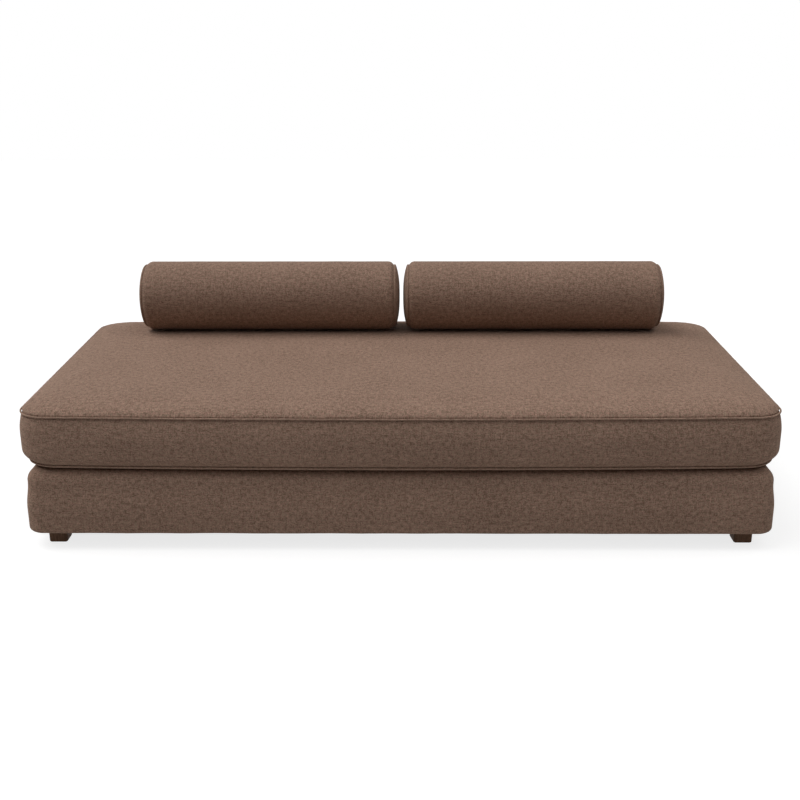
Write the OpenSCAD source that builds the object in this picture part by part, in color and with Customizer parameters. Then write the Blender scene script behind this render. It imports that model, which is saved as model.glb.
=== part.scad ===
/* [Overall] */
// Length of the divan, side to side at the fullest part of the seat cushion
divan_w = 2200; // [1800:10:2400]
// Depth of the divan, front to back at the fullest part of the seat cushion
divan_d = 1080; // [900:10:1200]
// Thickness of the linen cover with its backing
cloth_t = 2; // [1:0.5:3]

/* [Base] */
// Height of the upholstered base, without its feet
base_h = 198; // [185:1:240]
// How far each side of the base stands back from the seat cushion's side
base_inset = 12; // [0:1:20]
// Corner radius of the base, seen from above
base_corner_r = 54; // [52:1:90]
// Radius of the soft top edge of the base
base_edge_r = 50; // [25:1:50]
// Radius where the cover turns under the frame
base_hem_r = 10; // [4:1:14]
// Width of the cover's return under the frame, from its outside
hem_w = 45; // [36:1:50]
// Width of the cover's border on top of the base, from its outside
border_w = 120; // [90:1:180]
// Thickness of the dust cover below the frame
dust_t = 1; // [0.5:0.5:1.5]
// How far the dust cover's edge stands back from the base's side
dust_inset = 25; // [15:1:30]

/* [Padding] */
// Thickness of the foam on the outside of the frame
side_pad_t = 18; // [10:1:22]
// Thickness of the foam pad on the deck
deck_pad_t = 20; // [12:1:30]
// Width of the foam edge roll on top of the frame
edge_roll_w = 60; // [45:1:90]

/* [Frame] */
// Thickness of the frame boards
rail_t = 24; // [18:1:32]
// How far the cross rails stay below the webbing
webbing_drop = 45; // [30:1:70]
// Leg of a corner block, along each rail
block_leg = 112; // [100:1:140]
// Length that the inner corner of a corner block is cut back
block_cut = 48; // [30:1:52]
// Height of a corner block
block_h = 40; // [30:1:50]

/* [Webbing] */
// Width of a webbing strand
web_w = 50; // [40:1:60]
// Thickness of a webbing strand
web_t = 2; // [1.5:0.5:3]
// Spacing of the strands that run front to back
web_pitch_cross = 140; // [110:5:200]
// Spacing of the strands that run along the divan
web_pitch_long = 160; // [130:5:200]

/* [Feet] */
// Height of a foot with its glide, up to the base's lower edge
foot_h = 52; // [40:1:80]
// Side of a foot's square top
foot_side = 54; // [45:1:64]
// Distance from the base's side to a foot
foot_setback = 51; // [51:1:72]
// Radius of the eased edges of a foot
foot_ease = 4; // [2:0.5:8]
// Diameter of the glide under a foot
glide_d = 32; // [20:1:40]
// Thickness of the glide
glide_t = 3; // [2:0.5:5]
// Diameter of the hanger bolt
bolt_d = 8; // [6:1:10]
// Depth of the bolt in the foot
bolt_bite = 30; // [20:1:34]

/* [Seat cushion] */
// Height between the centres of the two pipings
boxing_h = 152; // [110:1:220]
// Rise of the crown above the top piping
crown_h = 26; // [10:1:40]
// Distance from the edge over which the crown rises
crown_run = 200; // [120:5:220]
// Further rise of the crown between there and the middle
crown_swell = 4; // [0:0.5:10]
// Diameter of the piping on the seat cushion
seat_piping_d = 6; // [5:0.5:8]
// How far the top piping is drawn in from the fullest line
top_draw = 13; // [4:1:16]
// How far the bottom piping is drawn in from the fullest line
bottom_draw = 16; // [6:1:30]
// Corner radius of the seat cushion at its top piping
seat_corner_r = 86; // [60:1:110]
// Corner radius at its bottom piping
bottom_corner_r = 100; // [60:1:120]
// How far the front edge bows forward in the middle
front_bow = 16; // [0:1:30]

/* [Bolsters] */
// Diameter of a bolster
bolster_d = 238; // [180:2:280]
// Length of a bolster from tip to tip
bolster_len = 893; // [700:1:1000]
// Space between the two bolsters
bolster_space = 13.5; // [6:0.5:40]
// Distance from the divan's back to a bolster's axis
bolster_setback = 200; // [150:1:260]
// How far the piping at a bolster's ends stands in from its side
end_draw = 13; // [10:1:22]
// Length over which a bolster narrows towards its piping
narrowing = 22; // [22:1:60]
// Depth of the domed end cap
dome_depth = 13; // [6:0.5:16]
// Diameter of the piping on a bolster
bolster_piping_d = 6; // [5:0.5:8]

/* [Zips] */
// Distance from the seat cushion's end to the end of its zip
seat_zip_margin = 200; // [200:5:400]
// Distance from a bolster's tip to the end of its zip
bolster_zip_margin = 130; // [120:5:200]
// Height of the opening in which the zip shows
zip_opening = 12; // [11:0.5:14]
// Width that the tape laps behind each side of the opening
tape_lap = 8; // [6:0.5:10]
// Thickness of the zip's tape
tape_t = 1; // [0.5:0.25:1.5]
// Radius of the zip's coil
coil_r = 2.5; // [2:0.25:2.75]
// How far the panels are drawn in beside the seat cushion's zip
zip_draw = 7; // [6:0.5:9]
// Length of a zip slider
slider_len = 14; // [10:1:20]
// Length of a zip puller
puller_len = 30; // [20:1:40]

/* [Hidden] */
$fn = 64;

linen = [0.38, 0.31, 0.26];
linen_top = [0.55, 0.46, 0.40];
foam = [0.93, 0.89, 0.72];
fibre = [0.95, 0.95, 0.93];
frame_wood = [0.80, 0.66, 0.46];
foot_wood = [0.20, 0.14, 0.11];
elastic = [0.25, 0.25, 0.27];
black_cloth = [0.12, 0.12, 0.12];
steel = [0.72, 0.72, 0.70];
nylon = [0.85, 0.84, 0.80];

// clearances that every fit uses
rest_gap = 0.3;
pin_gap = 0.1;
overrun = 5;

// levels and half sizes of the base
base_z0 = foot_h;
base_z1 = base_z0 + base_h;
base_w = divan_w - 2 * base_inset;
base_d = divan_d - 2 * base_inset;
skin_in = cloth_t + side_pad_t;
frame_w = base_w - 2 * skin_in;
frame_d = base_d - 2 * skin_in;
frame_z0 = base_z0 + cloth_t;
pad_z1 = base_z1 - cloth_t;
pad_z0 = pad_z1 - deck_pad_t;
weave_gap = 0.3;
rail_z1 = pad_z0 - 2 * web_t - weave_gap;
cross_z1 = rail_z1 - webbing_drop;
deck_w = frame_w - 2 * edge_roll_w;
deck_d = frame_d - 2 * edge_roll_w;

// places of the feet, as offsets from the middle of the base
foot_x = base_w / 2 - foot_setback - foot_side / 2;
foot_y = base_d / 2 - foot_setback - foot_side / 2;
FOOT_PLACES = [[-foot_x, -foot_y], [foot_x, -foot_y], [-foot_x, foot_y], [foot_x, foot_y], [0, 0]];
bolt_r = bolt_d / 2;
nut_wall = 1.2;
nut_depth = 12;
nut_flange_r = bolt_r + 7;
nut_flange_t = 1.5;
bolt_end = 3;

// a block with rounded upright corners, a rounded top edge and a rounded bottom edge
module edge_section(reach, z0, z1, top_r, bottom_r) {
    intersection() {
        union() {
            translate([0, z0 + bottom_r]) square([reach, z1 - z0 - top_r - bottom_r]);
            if (top_r > 0) {
                translate([0, z1 - top_r]) square([reach - top_r, top_r]);
                translate([reach - top_r, z1 - top_r]) circle(r = top_r);
            }
            if (bottom_r > 0) {
                translate([0, z0]) square([reach - bottom_r, bottom_r]);
                translate([reach - bottom_r, z0 + bottom_r]) circle(r = bottom_r);
            }
        }
        translate([0, z0]) square([reach, z1 - z0]);
    }
}

module soft_block(w, d, z0, z1, corner_r, top_r, bottom_r) {
    for (sx = [0, 1], sy = [0, 1])
        mirror([sx, 0, 0]) mirror([0, sy, 0])
            translate([w / 2 - corner_r, d / 2 - corner_r, 0])
                rotate_extrude(angle = 90) edge_section(corner_r, z0, z1, top_r, bottom_r);
    for (s = [0, 1]) {
        mirror([0, s, 0]) translate([0, d / 2 - corner_r, 0]) rotate([90, 0, 90])
            linear_extrude(w - 2 * corner_r, center = true)
                edge_section(corner_r, z0, z1, top_r, bottom_r);
        mirror([s, 0, 0]) translate([w / 2 - corner_r, 0, 0]) rotate([90, 0, 0])
            linear_extrude(d - 2 * corner_r, center = true)
                edge_section(corner_r, z0, z1, top_r, bottom_r);
    }
    translate([0, 0, (z0 + z1) / 2])
        cube([w - 2 * corner_r, d - 2 * corner_r, z1 - z0], center = true);
}

// the base's outer form, moved inwards by a depth
module base_form(depth) {
    soft_block(base_w - 2 * depth, base_d - 2 * depth, base_z0 + min(depth, cloth_t), base_z1 - depth,
        base_corner_r - depth, base_edge_r - depth, max(base_hem_r - depth, 0));
}

module plate(w, d, z0, z1) {
    translate([-w / 2, -d / 2, z0]) cube([w, d, z1 - z0]);
}

module rounded_plate(w, d, r, z0, z1) {
    translate([0, 0, z0]) linear_extrude(z1 - z0) {
        square([w, d - 2 * r], center = true);
        square([w - 2 * r, d], center = true);
        for (sx = [-1, 1], sy = [-1, 1]) translate([sx * (w / 2 - r), sy * (d / 2 - r)]) circle(r = r);
    }
}

// frame of solid boards, its corners rounded to follow the padding
module frame_envelope() {
    rounded_plate(frame_w, frame_d, base_corner_r - skin_in, frame_z0, rail_z1);
}

module long_rail(side) {
    color(frame_wood) intersection() {
        frame_envelope();
        translate([-frame_w / 2, side > 0 ? frame_d / 2 - rail_t : -frame_d / 2, frame_z0])
            cube([frame_w, rail_t, rail_z1 - frame_z0]);
    }
}

module end_rail(side) {
    color(frame_wood) intersection() {
        frame_envelope();
        translate([side > 0 ? frame_w / 2 - rail_t : -frame_w / 2, rail_t - frame_d / 2, frame_z0])
            cube([rail_t, frame_d - 2 * rail_t, rail_z1 - frame_z0]);
    }
}

// twin rails hold the centre block, and a single rail stands midway on each side
twin_x = (block_leg + rail_t) / 2;
CROSS_PLACES = [-frame_w / 4, -twin_x, twin_x, frame_w / 4];

module cross_rails() {
    color(frame_wood) for (x = CROSS_PLACES)
        translate([x, 0, 0]) plate(rail_t, frame_d - 2 * rail_t, frame_z0, cross_z1);
}

module block_bore() {
    translate([0, 0, frame_z0 - overrun])
        cylinder(r = bolt_r + nut_wall + pin_gap, h = block_h + 2 * overrun);
}

// corner blocks, each with its inner corner cut back
module corner_blocks() {
    inner_x = frame_w / 2 - rail_t;
    inner_y = frame_d / 2 - rail_t;
    color(frame_wood) for (sx = [0, 1], sy = [0, 1])
        mirror([sx, 0, 0]) mirror([0, sy, 0]) difference() {
            translate([inner_x, inner_y, frame_z0]) linear_extrude(block_h)
                polygon([[0, 0], [-block_leg, 0], [-block_leg, block_cut - block_leg],
                    [block_cut - block_leg, -block_leg], [0, -block_leg]]);
            translate([foot_x, foot_y, 0]) block_bore();
        }
}

module centre_block() {
    color(frame_wood) difference() {
        plate(block_leg, block_leg, frame_z0, frame_z0 + block_h);
        block_bore();
    }
}

// webbing: each strand passes over and under the strands that cross it
web_ease = 4;
web_level = rail_z1 + web_t + weave_gap / 2;
web_swing = (web_t + weave_gap) / 2;
web_lip = 4;
function strand_count(room, pitch) = floor((room - web_w - 4 * web_ease) / pitch) + 1;
function strand_places(room, pitch) = let (n = strand_count(room, pitch))
    [for (i = [0 : n - 1]) (i - (n - 1) / 2) * pitch];
CROSS_STRANDS = strand_places(deck_w, web_pitch_cross);
LONG_STRANDS = strand_places(deck_d, web_pitch_long);

function strand_line(places, start, reach, room) = concat(
    [[-reach, -web_swing], [-room, -web_swing]],
    [for (k = [0 : len(places) - 1], e = [-1, 1])
        [places[k] + e * (web_w / 2 + web_ease), ((k + start) % 2 == 0 ? 1 : -1) * web_swing]],
    [[room, -web_swing], [reach, -web_swing]]);

module strand(line) {
    linear_extrude(web_w, center = true) polygon(concat(
        [for (p = line) [p[0], p[1] - web_t / 2]],
        [for (i = [len(line) - 1 : -1 : 0]) [line[i][0], line[i][1] + web_t / 2]]));
}

module webbing_cross() {
    color(elastic) for (i = [0 : len(CROSS_STRANDS) - 1])
        translate([CROSS_STRANDS[i], 0, web_level]) rotate([90, 0, 90])
            strand(strand_line(LONG_STRANDS, i, frame_d / 2 - web_lip, deck_d / 2));
}

module webbing_long() {
    color(elastic) for (i = [0 : len(LONG_STRANDS) - 1])
        translate([0, LONG_STRANDS[i], web_level]) rotate([90, 0, 0])
            strand(strand_line(CROSS_STRANDS, i + 1, frame_w / 2 - web_lip, deck_w / 2));
}

module deck_pad() {
    color(foam) plate(deck_w, deck_d, pad_z0, pad_z1);
}

// foam strips that wrap the frame, each with its roll on top
module padding() {
    difference() {
        base_form(cloth_t);
        rounded_plate(frame_w, frame_d, base_corner_r - skin_in, base_z0 - overrun, rail_z1 + web_t);
        plate(deck_w, deck_d, base_z0 - overrun, base_z1 + overrun);
    }
}

module padding_long(side) {
    color(foam) intersection() {
        padding();
        translate([-base_w / 2, side > 0 ? deck_d / 2 : -base_d / 2, base_z0])
            cube([base_w, (base_d - deck_d) / 2, base_h]);
    }
}

module padding_end(side) {
    color(foam) intersection() {
        padding();
        translate([side > 0 ? deck_w / 2 : -base_w / 2, -deck_d / 2, base_z0])
            cube([(base_w - deck_w) / 2, deck_d, base_h]);
    }
}

// the cover: a shell over the padding, with a border on top and a return below
module base_cover() {
    color(linen) difference() {
        base_form(0);
        base_form(cloth_t);
        plate(base_w - 2 * border_w, base_d - 2 * border_w, base_z1 - cloth_t - overrun, base_z1 + overrun);
        plate(base_w - 2 * hem_w, base_d - 2 * hem_w, base_z0 - overrun, base_z0 + cloth_t + overrun);
    }
}

module deck_cloth() {
    color(black_cloth)
        plate(base_w - 2 * border_w, base_d - 2 * border_w, base_z1 - cloth_t, base_z1);
}

module dust_cover() {
    color(black_cloth) difference() {
        plate(base_w - 2 * dust_inset, base_d - 2 * dust_inset, base_z0 - dust_t, base_z0);
        for (p = FOOT_PLACES) translate([p[0], p[1], 0])
            plate(foot_side + 2 * rest_gap, foot_side + 2 * rest_gap, base_z0 - overrun, base_z0 + overrun);
    }
}

// square block feet with eased edges, each bored for its bolt
module foot(i) {
    color(foot_wood) translate([FOOT_PLACES[i][0], FOOT_PLACES[i][1], 0]) difference() {
        soft_block(foot_side, foot_side, glide_t, frame_z0, 2 * foot_ease, 0, foot_ease);
        translate([0, 0, frame_z0 - bolt_bite]) cylinder(r = bolt_r + pin_gap, h = bolt_bite + overrun);
    }
}

module foot_bolts() {
    color(steel) for (p = FOOT_PLACES)
        translate([p[0], p[1], frame_z0 - bolt_bite]) cylinder(r = bolt_r, h = bolt_bite + block_h + bolt_end);
}

module tee_nuts() {
    color(steel) for (p = FOOT_PLACES) translate([p[0], p[1], frame_z0 + block_h]) difference() {
        union() {
            translate([0, 0, -nut_depth]) cylinder(r = bolt_r + nut_wall, h = nut_depth + nut_flange_t);
            cylinder(r = nut_flange_r, h = nut_flange_t);
        }
        translate([0, 0, -nut_depth - overrun]) cylinder(r = bolt_r + pin_gap, h = nut_depth + 2 * overrun);
    }
}

module foot_glides() {
    color(nylon) for (p = FOOT_PLACES)
        translate([p[0], p[1], 0]) cylinder(d = glide_d, h = glide_t);
}

// seat cushion: piping levels, and the flat lands where cloth meets piping
piping_r = seat_piping_d / 2;
land = piping_r * sin(60);
seat_z0 = base_z1 + rest_gap;
bottom_piping_z = seat_z0 + cloth_t + land;
top_piping_z = bottom_piping_z + boxing_h;
boxing_z0 = bottom_piping_z + land;
boxing_z1 = top_piping_z - land;
panel_z0 = top_piping_z + land;
seat_a = divan_w / 2;
seat_b = divan_d / 2;
seat_zip_len = divan_w - 2 * seat_zip_margin;
zip_half = seat_zip_len / 2;

// an outline of the seat cushion, anticlockwise from the left end of the zip at the back
corner_steps = 5;
front_steps = 10;
side_steps = 4;
back_steps = 6;
function arc(cx, cy, r, from) =
    [for (i = [0 : corner_steps]) let (t = from + 90 * i / corner_steps) [cx + r * cos(t), cy + r * sin(t)]];
zip_end_share = 0.95;
function zip_end(ex) = min(zip_half, zip_end_share * ex);
function seat_outline(inset, r, back_extra = 0) = let (
    hx = seat_a - inset,
    yb = seat_b - inset - back_extra,
    yf = front_bow - seat_b + inset,
    ex = hx - r)
    concat(
        [[-zip_end(ex), yb]],
        arc(-ex, yb - r, r, 90),
        [for (i = [1 : side_steps - 1]) [-hx, yb - r - (yb - yf - 2 * r) * i / side_steps]],
        arc(-ex, yf + r, r, 180),
        [for (i = [1 : front_steps - 1]) let (s = 2 * i / front_steps - 1)
            [s * ex, yf - front_bow * (1 - s * s)]],
        arc(ex, yf + r, r, 270),
        [for (i = [1 : side_steps - 1]) [hx, yf + r + (yb - yf - 2 * r) * i / side_steps]],
        arc(ex, yb - r, r, 0),
        [[zip_end(ex), yb]]);
function closed_outline(inset, r, back_extra = 0) = let (
    yb = seat_b - inset - back_extra,
    xe = zip_end(seat_a - inset - r))
    concat(seat_outline(inset, r, back_extra),
        [for (i = [1 : back_steps - 1]) [xe - 2 * xe * i / back_steps, yb]]);
function at_height(points, z) = [for (p = points) [p[0], p[1], z]];

// faces between stacked outlines, top to bottom, seen clockwise from outside
function band(k0, k1, n, wrap) = [for (j = [0 : n - (wrap ? 1 : 2)]) let (i = (j + 1) % n)
    each [[k0 * n + j, k0 * n + i, k1 * n + i], [k0 * n + j, k1 * n + i, k1 * n + j]]];
function flat_points(rings) = [for (ring = rings) each ring];

// a solid between a first and a last outline, each closed by a fan round a middle point
module stacked(rings, top_middle, bottom_middle) {
    n = len(rings[0]);
    m = len(rings);
    polyhedron(points = concat(flat_points(rings), [top_middle, bottom_middle]), faces = concat(
        [for (j = [0 : n - 1]) [n * m, (j + 1) % n, j]],
        [for (k = [0 : m - 2]) each band(k, k + 1, n, true)],
        [for (j = [0 : n - 1]) [n * m + 1, (m - 1) * n + j, (m - 1) * n + (j + 1) % n]]));
}

// a band whose section is closed: a full ring, or a strip with two flat ends
module ringed(rings, full) {
    n = len(rings[0]);
    m = len(rings);
    polyhedron(points = flat_points(rings), faces = concat(
        [for (k = [0 : m - 1]) each band(k, (k + 1) % m, n, full)],
        full ? [] : [[for (k = [0 : m - 1]) k * n], [for (k = [m - 1 : -1 : 0]) k * n + n - 1]]));
}

// the crown: how high the top panel stands above its land, at a distance from its edge
function crown(run) = crown_h * (1 - pow(1 - min(run / crown_run, 1), 3)) + crown_swell * min(run / seat_b, 1);
crown_middle_share = 0.55;
OUTER_RUN_SHARES = [0, 0.05, 0.15, 0.33, 0.58, 1];
INNER_RUN_SHARES = [0.15, 0.33, 0.58, 1];
crown_corner_share = 0.25;
function runs(shares) = concat([for (s = shares) s * crown_run], [crown_middle_share * seat_b]);
OUTER_RUNS = runs(OUTER_RUN_SHARES);
INNER_RUNS = runs(INNER_RUN_SHARES);
function crown_ring(run, lift, draw) = at_height(
    closed_outline(top_draw + draw + run, seat_corner_r - draw + crown_corner_share * run),
    panel_z0 + crown(run) + lift);
function crown_middle(lift) = [0, 0, panel_z0 + crown(seat_b) + lift];
function reversed(list) = [for (i = [len(list) - 1 : -1 : 0]) list[i]];

module seat_top_panel() {
    color(linen_top) stacked(concat(
        [for (run = reversed(OUTER_RUNS)) crown_ring(run, 0, 0)],
        [crown_ring(0, 0, cloth_t)],
        [for (run = INNER_RUNS) crown_ring(run, -cloth_t, 0)]),
        crown_middle(0), crown_middle(-cloth_t));
}

// the boxing: shares of its height, from the top, with the drawn-in shares at each
HEIGHT_SHARES = [0, 0.07, 0.2, 0.72, 0.84, 0.93, 1];
TOP_DRAW_SHARES = [1, 0.35, 0, 0, 0, 0, 0];
BOTTOM_DRAW_SHARES = [0, 0, 0, 0, 0.13, 0.42, 1];
INNER_ROWS = [6, 4, 3, 2, 0];
function row_z(k) = boxing_z1 - HEIGHT_SHARES[k] * (boxing_z1 - boxing_z0);
function row_draw(k) = top_draw * TOP_DRAW_SHARES[k] + bottom_draw * BOTTOM_DRAW_SHARES[k];
full_corner_r = seat_corner_r + top_draw;
function row_corner(k) = full_corner_r - top_draw * TOP_DRAW_SHARES[k]
    + (bottom_corner_r - full_corner_r) * BOTTOM_DRAW_SHARES[k];

module seat_boxing() {
    color(linen) ringed(concat(
        [for (k = [0 : len(HEIGHT_SHARES) - 1]) at_height(seat_outline(row_draw(k), row_corner(k)), row_z(k))],
        [for (k = INNER_ROWS)
            at_height(seat_outline(row_draw(k) + cloth_t, row_corner(k) - cloth_t), row_z(k))]),
        false);
}

// two zip panels close the boxing at the back, drawn in beside the zip
zip_z = (row_z(2) + row_z(3)) / 2;
zip_flat = zip_opening / 2 + tape_lap;
function zip_profile(rows, side) = let (
    outer = concat([for (k = rows) [seat_b - row_draw(k), row_z(k)]],
        [for (h = [zip_flat, zip_opening / 2]) [seat_b - zip_draw, zip_z + side * h]]))
    concat(outer, [for (p = reversed(outer)) [p[0] - cloth_t, p[1]]]);

module seat_zip_panels() {
    color(linen) rotate([90, 0, 90]) linear_extrude(seat_zip_len, center = true) {
        polygon(zip_profile([0, 1, 2], 1));
        polygon(zip_profile([6, 5, 4, 3], -1));
    }
}

module seat_bottom_panel() {
    color(linen) translate([0, 0, seat_z0]) linear_extrude(cloth_t)
        polygon(closed_outline(bottom_draw, bottom_corner_r));
}

// piping: a cord in cloth of six sides, whose flats carry the panel and the boxing
module piping(draw, r, z) {
    ringed([for (t = [60 : -60 : -240])
        at_height(closed_outline(draw + cloth_t / 2 - piping_r * cos(t), r - cloth_t / 2 + piping_r * cos(t)),
            z + piping_r * sin(t))], true);
}

module seat_piping_top() {
    color(linen_top) piping(top_draw, seat_corner_r, top_piping_z);
}

module seat_piping_bottom() {
    color(linen) piping(bottom_draw, bottom_corner_r, bottom_piping_z);
}

// filling: a foam core inside the boxing, and a crowned fibre wrap on top of it
core_inset = cloth_t + piping_r + rest_gap;
core_back_inset = zip_draw + tape_t + rest_gap;
CORE_ROWS = [2, 3, 4, 6];
core_z0 = seat_z0 + cloth_t + rest_gap;
core_z1 = top_piping_z;
function core_ring(k, z) =
    at_height(closed_outline(row_draw(k) + core_inset, row_corner(k) - core_inset, core_back_inset), z);

module seat_foam_core() {
    color(foam) stacked(
        concat([core_ring(0, core_z1)], [for (k = CORE_ROWS) core_ring(k, row_z(k))], [core_ring(6, core_z0)]),
        [0, 0, core_z1], [0, 0, core_z0]);
}

module seat_fibre_wrap() {
    edge = closed_outline(top_draw + core_inset, seat_corner_r - core_inset);
    color(fibre) stacked(concat(
        [for (run = reversed(INNER_RUNS)) crown_ring(run, -cloth_t - rest_gap, 0)],
        [at_height(edge, panel_z0), at_height(edge, core_z1)]),
        crown_middle(-cloth_t - rest_gap), [0, 0, core_z1]);
}

// a zip chain along X, its tape's outer face at y = 0 and its coil standing out along +Y
module zip_chain(length) {
    translate([-length / 2, -tape_t, -zip_flat + pin_gap]) cube([length, tape_t, 2 * (zip_flat - pin_gap)]);
    rotate([90, 0, 90]) linear_extrude(length, center = true) intersection() {
        circle(r = coil_r);
        translate([0, -coil_r]) square([coil_r, 2 * coil_r]);
    }
}

// a slider that straddles the coil, with a bail that carries the puller
slider_wall = 1.2;
slider_reach = coil_r + rest_gap + slider_wall;
slider_half = coil_r + rest_gap + slider_wall;
bail_t = 1;
bail_rise = 1.8;
puller_t = 1.2;
puller_half = 2.6;
bail_half = 1.2;
eye_len = 3;
module zip_slider() {
    rotate([90, 0, 90]) linear_extrude(slider_len, center = true) difference() {
        translate([rest_gap, -slider_half]) square([slider_reach - rest_gap, 2 * slider_half]);
        circle(r = coil_r + rest_gap);
    }
    translate([0, slider_reach, 0]) {
        for (s = [-1, 1]) translate([s * eye_len - bail_t / 2, -pin_gap, -bail_half])
            cube([bail_t, bail_rise + pin_gap, 2 * bail_half]);
        translate([-eye_len - bail_t / 2, bail_rise, -bail_half])
            cube([2 * eye_len + bail_t, bail_t, 2 * bail_half]);
    }
    puller();
}

// the puller lies flat on the slider, the bail's post in its eye
module puller() {
    eye_half = bail_half + rest_gap;
    translate([0, slider_reach + rest_gap, 0]) rotate([-90, 0, 0]) linear_extrude(puller_t) difference() {
        union() {
            translate([-eye_len + bail_t, -puller_half]) square([puller_len - puller_half, 2 * puller_half]);
            translate([puller_len - eye_len + bail_t - puller_half, 0]) circle(r = puller_half);
        }
        translate([eye_len - bail_t / 2 - rest_gap, -eye_half])
            square([bail_t + 2 * rest_gap, 2 * eye_half]);
    }
}

// sliders rest at the closed end of their zips, the right one
function slider_rest(length) = length / 2 - slider_len - puller_len;
module seat_zip_place() {
    translate([0, seat_b - zip_draw - cloth_t, zip_z]) children();
}

module seat_zip_chain() {
    color(black_cloth) seat_zip_place() zip_chain(seat_zip_len);
}

module seat_zip_slider() {
    color(steel) seat_zip_place() translate([slider_rest(seat_zip_len), 0, 0]) zip_slider();
}

// bolsters: a tube that narrows at each end, a piping ring and a domed cap
bolster_r = bolster_d / 2;
ring_r = bolster_piping_d / 2;
half_len = bolster_len / 2;
seam_r = bolster_r - end_draw;
cap_x = half_len - dome_depth;
ring_x = cap_x - ring_r;
tube_x = ring_x - ring_r;
body_x = tube_x - narrowing;
narrow_r = (narrowing * narrowing + end_draw * end_draw) / (2 * end_draw);
narrow_turn = asin(narrowing / narrow_r);
narrow_steps = 5;
function narrow_line(depth) = [for (i = [0 : narrow_steps]) let (t = narrow_turn * i / narrow_steps)
    [bolster_r - narrow_r + (narrow_r - depth) * cos(t), min(body_x + (narrow_r - depth) * sin(t), tube_x)]];
function two_ends(line) = concat([for (p = reversed(line)) [p[0], -p[1]]], line);

// a form turned about the bolster's axis, which lies along X
module turned(points) {
    rotate([0, 90, 0]) rotate_extrude($fn = 96) polygon(points);
}

// the zip's tape is a chord behind the tube's skin
tape_reach = sqrt(pow(bolster_r - cloth_t - rest_gap, 2) - pow(zip_flat, 2));
bolster_zip_len = bolster_len - 2 * bolster_zip_margin;
module bolster_cover() {
    skin = concat(narrow_line(0), [[seam_r - cloth_t, tube_x]]);
    lining = [for (i = [0 : narrow_steps - 1]) narrow_line(cloth_t)[i]];
    difference() {
        turned(concat(two_ends(skin), reversed(lining), [for (p = lining) [p[0], -p[1]]]));
        translate([-bolster_zip_len / 2, 0, -zip_opening / 2])
            cube([bolster_zip_len, bolster_r + overrun, zip_opening]);
    }
}

DOME_SHARES = [0, 0.25, 0.5, 0.7, 0.85, 0.95, 1];
function dome_x(share) = half_len - dome_depth * pow(share, 3);
module bolster_cap(side) {
    mirror([side > 0 ? 0 : 1, 0, 0]) turned(concat(
        [for (s = DOME_SHARES) [s * seam_r, dome_x(s)]],
        [[seam_r - cloth_t, cap_x]],
        [for (k = [4 : -1 : 0]) [DOME_SHARES[k] * seam_r, dome_x(DOME_SHARES[k]) - cloth_t]]));
}

module bolster_piping() {
    for (s = [-1, 1]) translate([s * ring_x, 0, 0]) rotate([0, 90, 0])
        rotate_extrude($fn = 96) translate([seam_r - cloth_t / 2, 0]) circle(r = ring_r, $fn = 24);
}

core_depth = cloth_t + rest_gap;
neck_r = seam_r - cloth_t / 2 - ring_r - rest_gap;
module bolster_core() {
    body = [for (i = [0 : narrow_steps - 1]) narrow_line(core_depth)[i]];
    dome = [for (k = [4 : -1 : 0]) [DOME_SHARES[k] * seam_r, dome_x(DOME_SHARES[k]) - core_depth]];
    line = concat(body, [[neck_r, body[narrow_steps - 1][1]], [neck_r, cap_x - rest_gap]], dome);
    difference() {
        turned(two_ends(line));
        translate([-bolster_zip_len / 2 - rest_gap, tape_reach - tape_t - rest_gap, -zip_flat - rest_gap])
            cube([bolster_zip_len + 2 * rest_gap, bolster_r, 2 * (zip_flat + rest_gap)]);
    }
}

// a bolster rests where its round first meets the crown behind its axis or before it
bolster_y = seat_b - bolster_setback;
bolster_x = (bolster_len + bolster_space) / 2;
CROWN_TABLE = [for (run = OUTER_RUNS) [top_draw + run, panel_z0 + crown(run)]];
scan = 40;
bolster_z = rest_gap + max([for (i = [-scan : scan]) let (y = bolster_r * i / scan / 2)
    lookup(bolster_setback - y, CROWN_TABLE) + sqrt(bolster_r * bolster_r - y * y)]);
zip_turn = 40;

module bolster_place(side) {
    translate([side * bolster_x, bolster_y, bolster_z]) rotate([-zip_turn, 0, 0]) children();
}

module bolster_zip_chain(side) {
    color(black_cloth) bolster_place(side) translate([0, tape_reach, 0]) zip_chain(bolster_zip_len);
}

module bolster_zip_slider(side) {
    color(steel) bolster_place(side)
        translate([slider_rest(bolster_zip_len), tape_reach, 0]) zip_slider();
}

long_rail(-1);  // front_rail
long_rail(1);  // back_rail
end_rail(-1);  // left_rail
end_rail(1);  // right_rail
cross_rails();
corner_blocks();
centre_block();
webbing_cross();
webbing_long();
deck_pad();
padding_long(-1);  // padding_front
padding_long(1);  // padding_back
padding_end(-1);  // padding_left
padding_end(1);  // padding_right
base_cover();
deck_cloth();
dust_cover();
foot(0);  // foot_front_left
foot(1);  // foot_front_right
foot(2);  // foot_back_left
foot(3);  // foot_back_right
foot(4);  // foot_centre
foot_bolts();
tee_nuts();
foot_glides();
seat_top_panel();
seat_boxing();
seat_zip_panels();
seat_bottom_panel();
seat_piping_top();
seat_piping_bottom();
seat_foam_core();
seat_fibre_wrap();
seat_zip_chain();
seat_zip_slider();
color(linen) bolster_place(-1) bolster_cover();  // bolster_left_cover
color(linen) bolster_place(-1) bolster_cap(-1);  // bolster_left_cap_outer
color(linen) bolster_place(-1) bolster_cap(1);  // bolster_left_cap_inner
color(linen_top) bolster_place(-1) bolster_piping();  // bolster_left_piping
color(fibre) bolster_place(-1) bolster_core();  // bolster_left_core
bolster_zip_chain(-1);  // bolster_left_zip_chain
bolster_zip_slider(-1);  // bolster_left_zip_slider
color(linen) bolster_place(1) bolster_cover();  // bolster_right_cover
color(linen) bolster_place(1) bolster_cap(1);  // bolster_right_cap_outer
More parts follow.
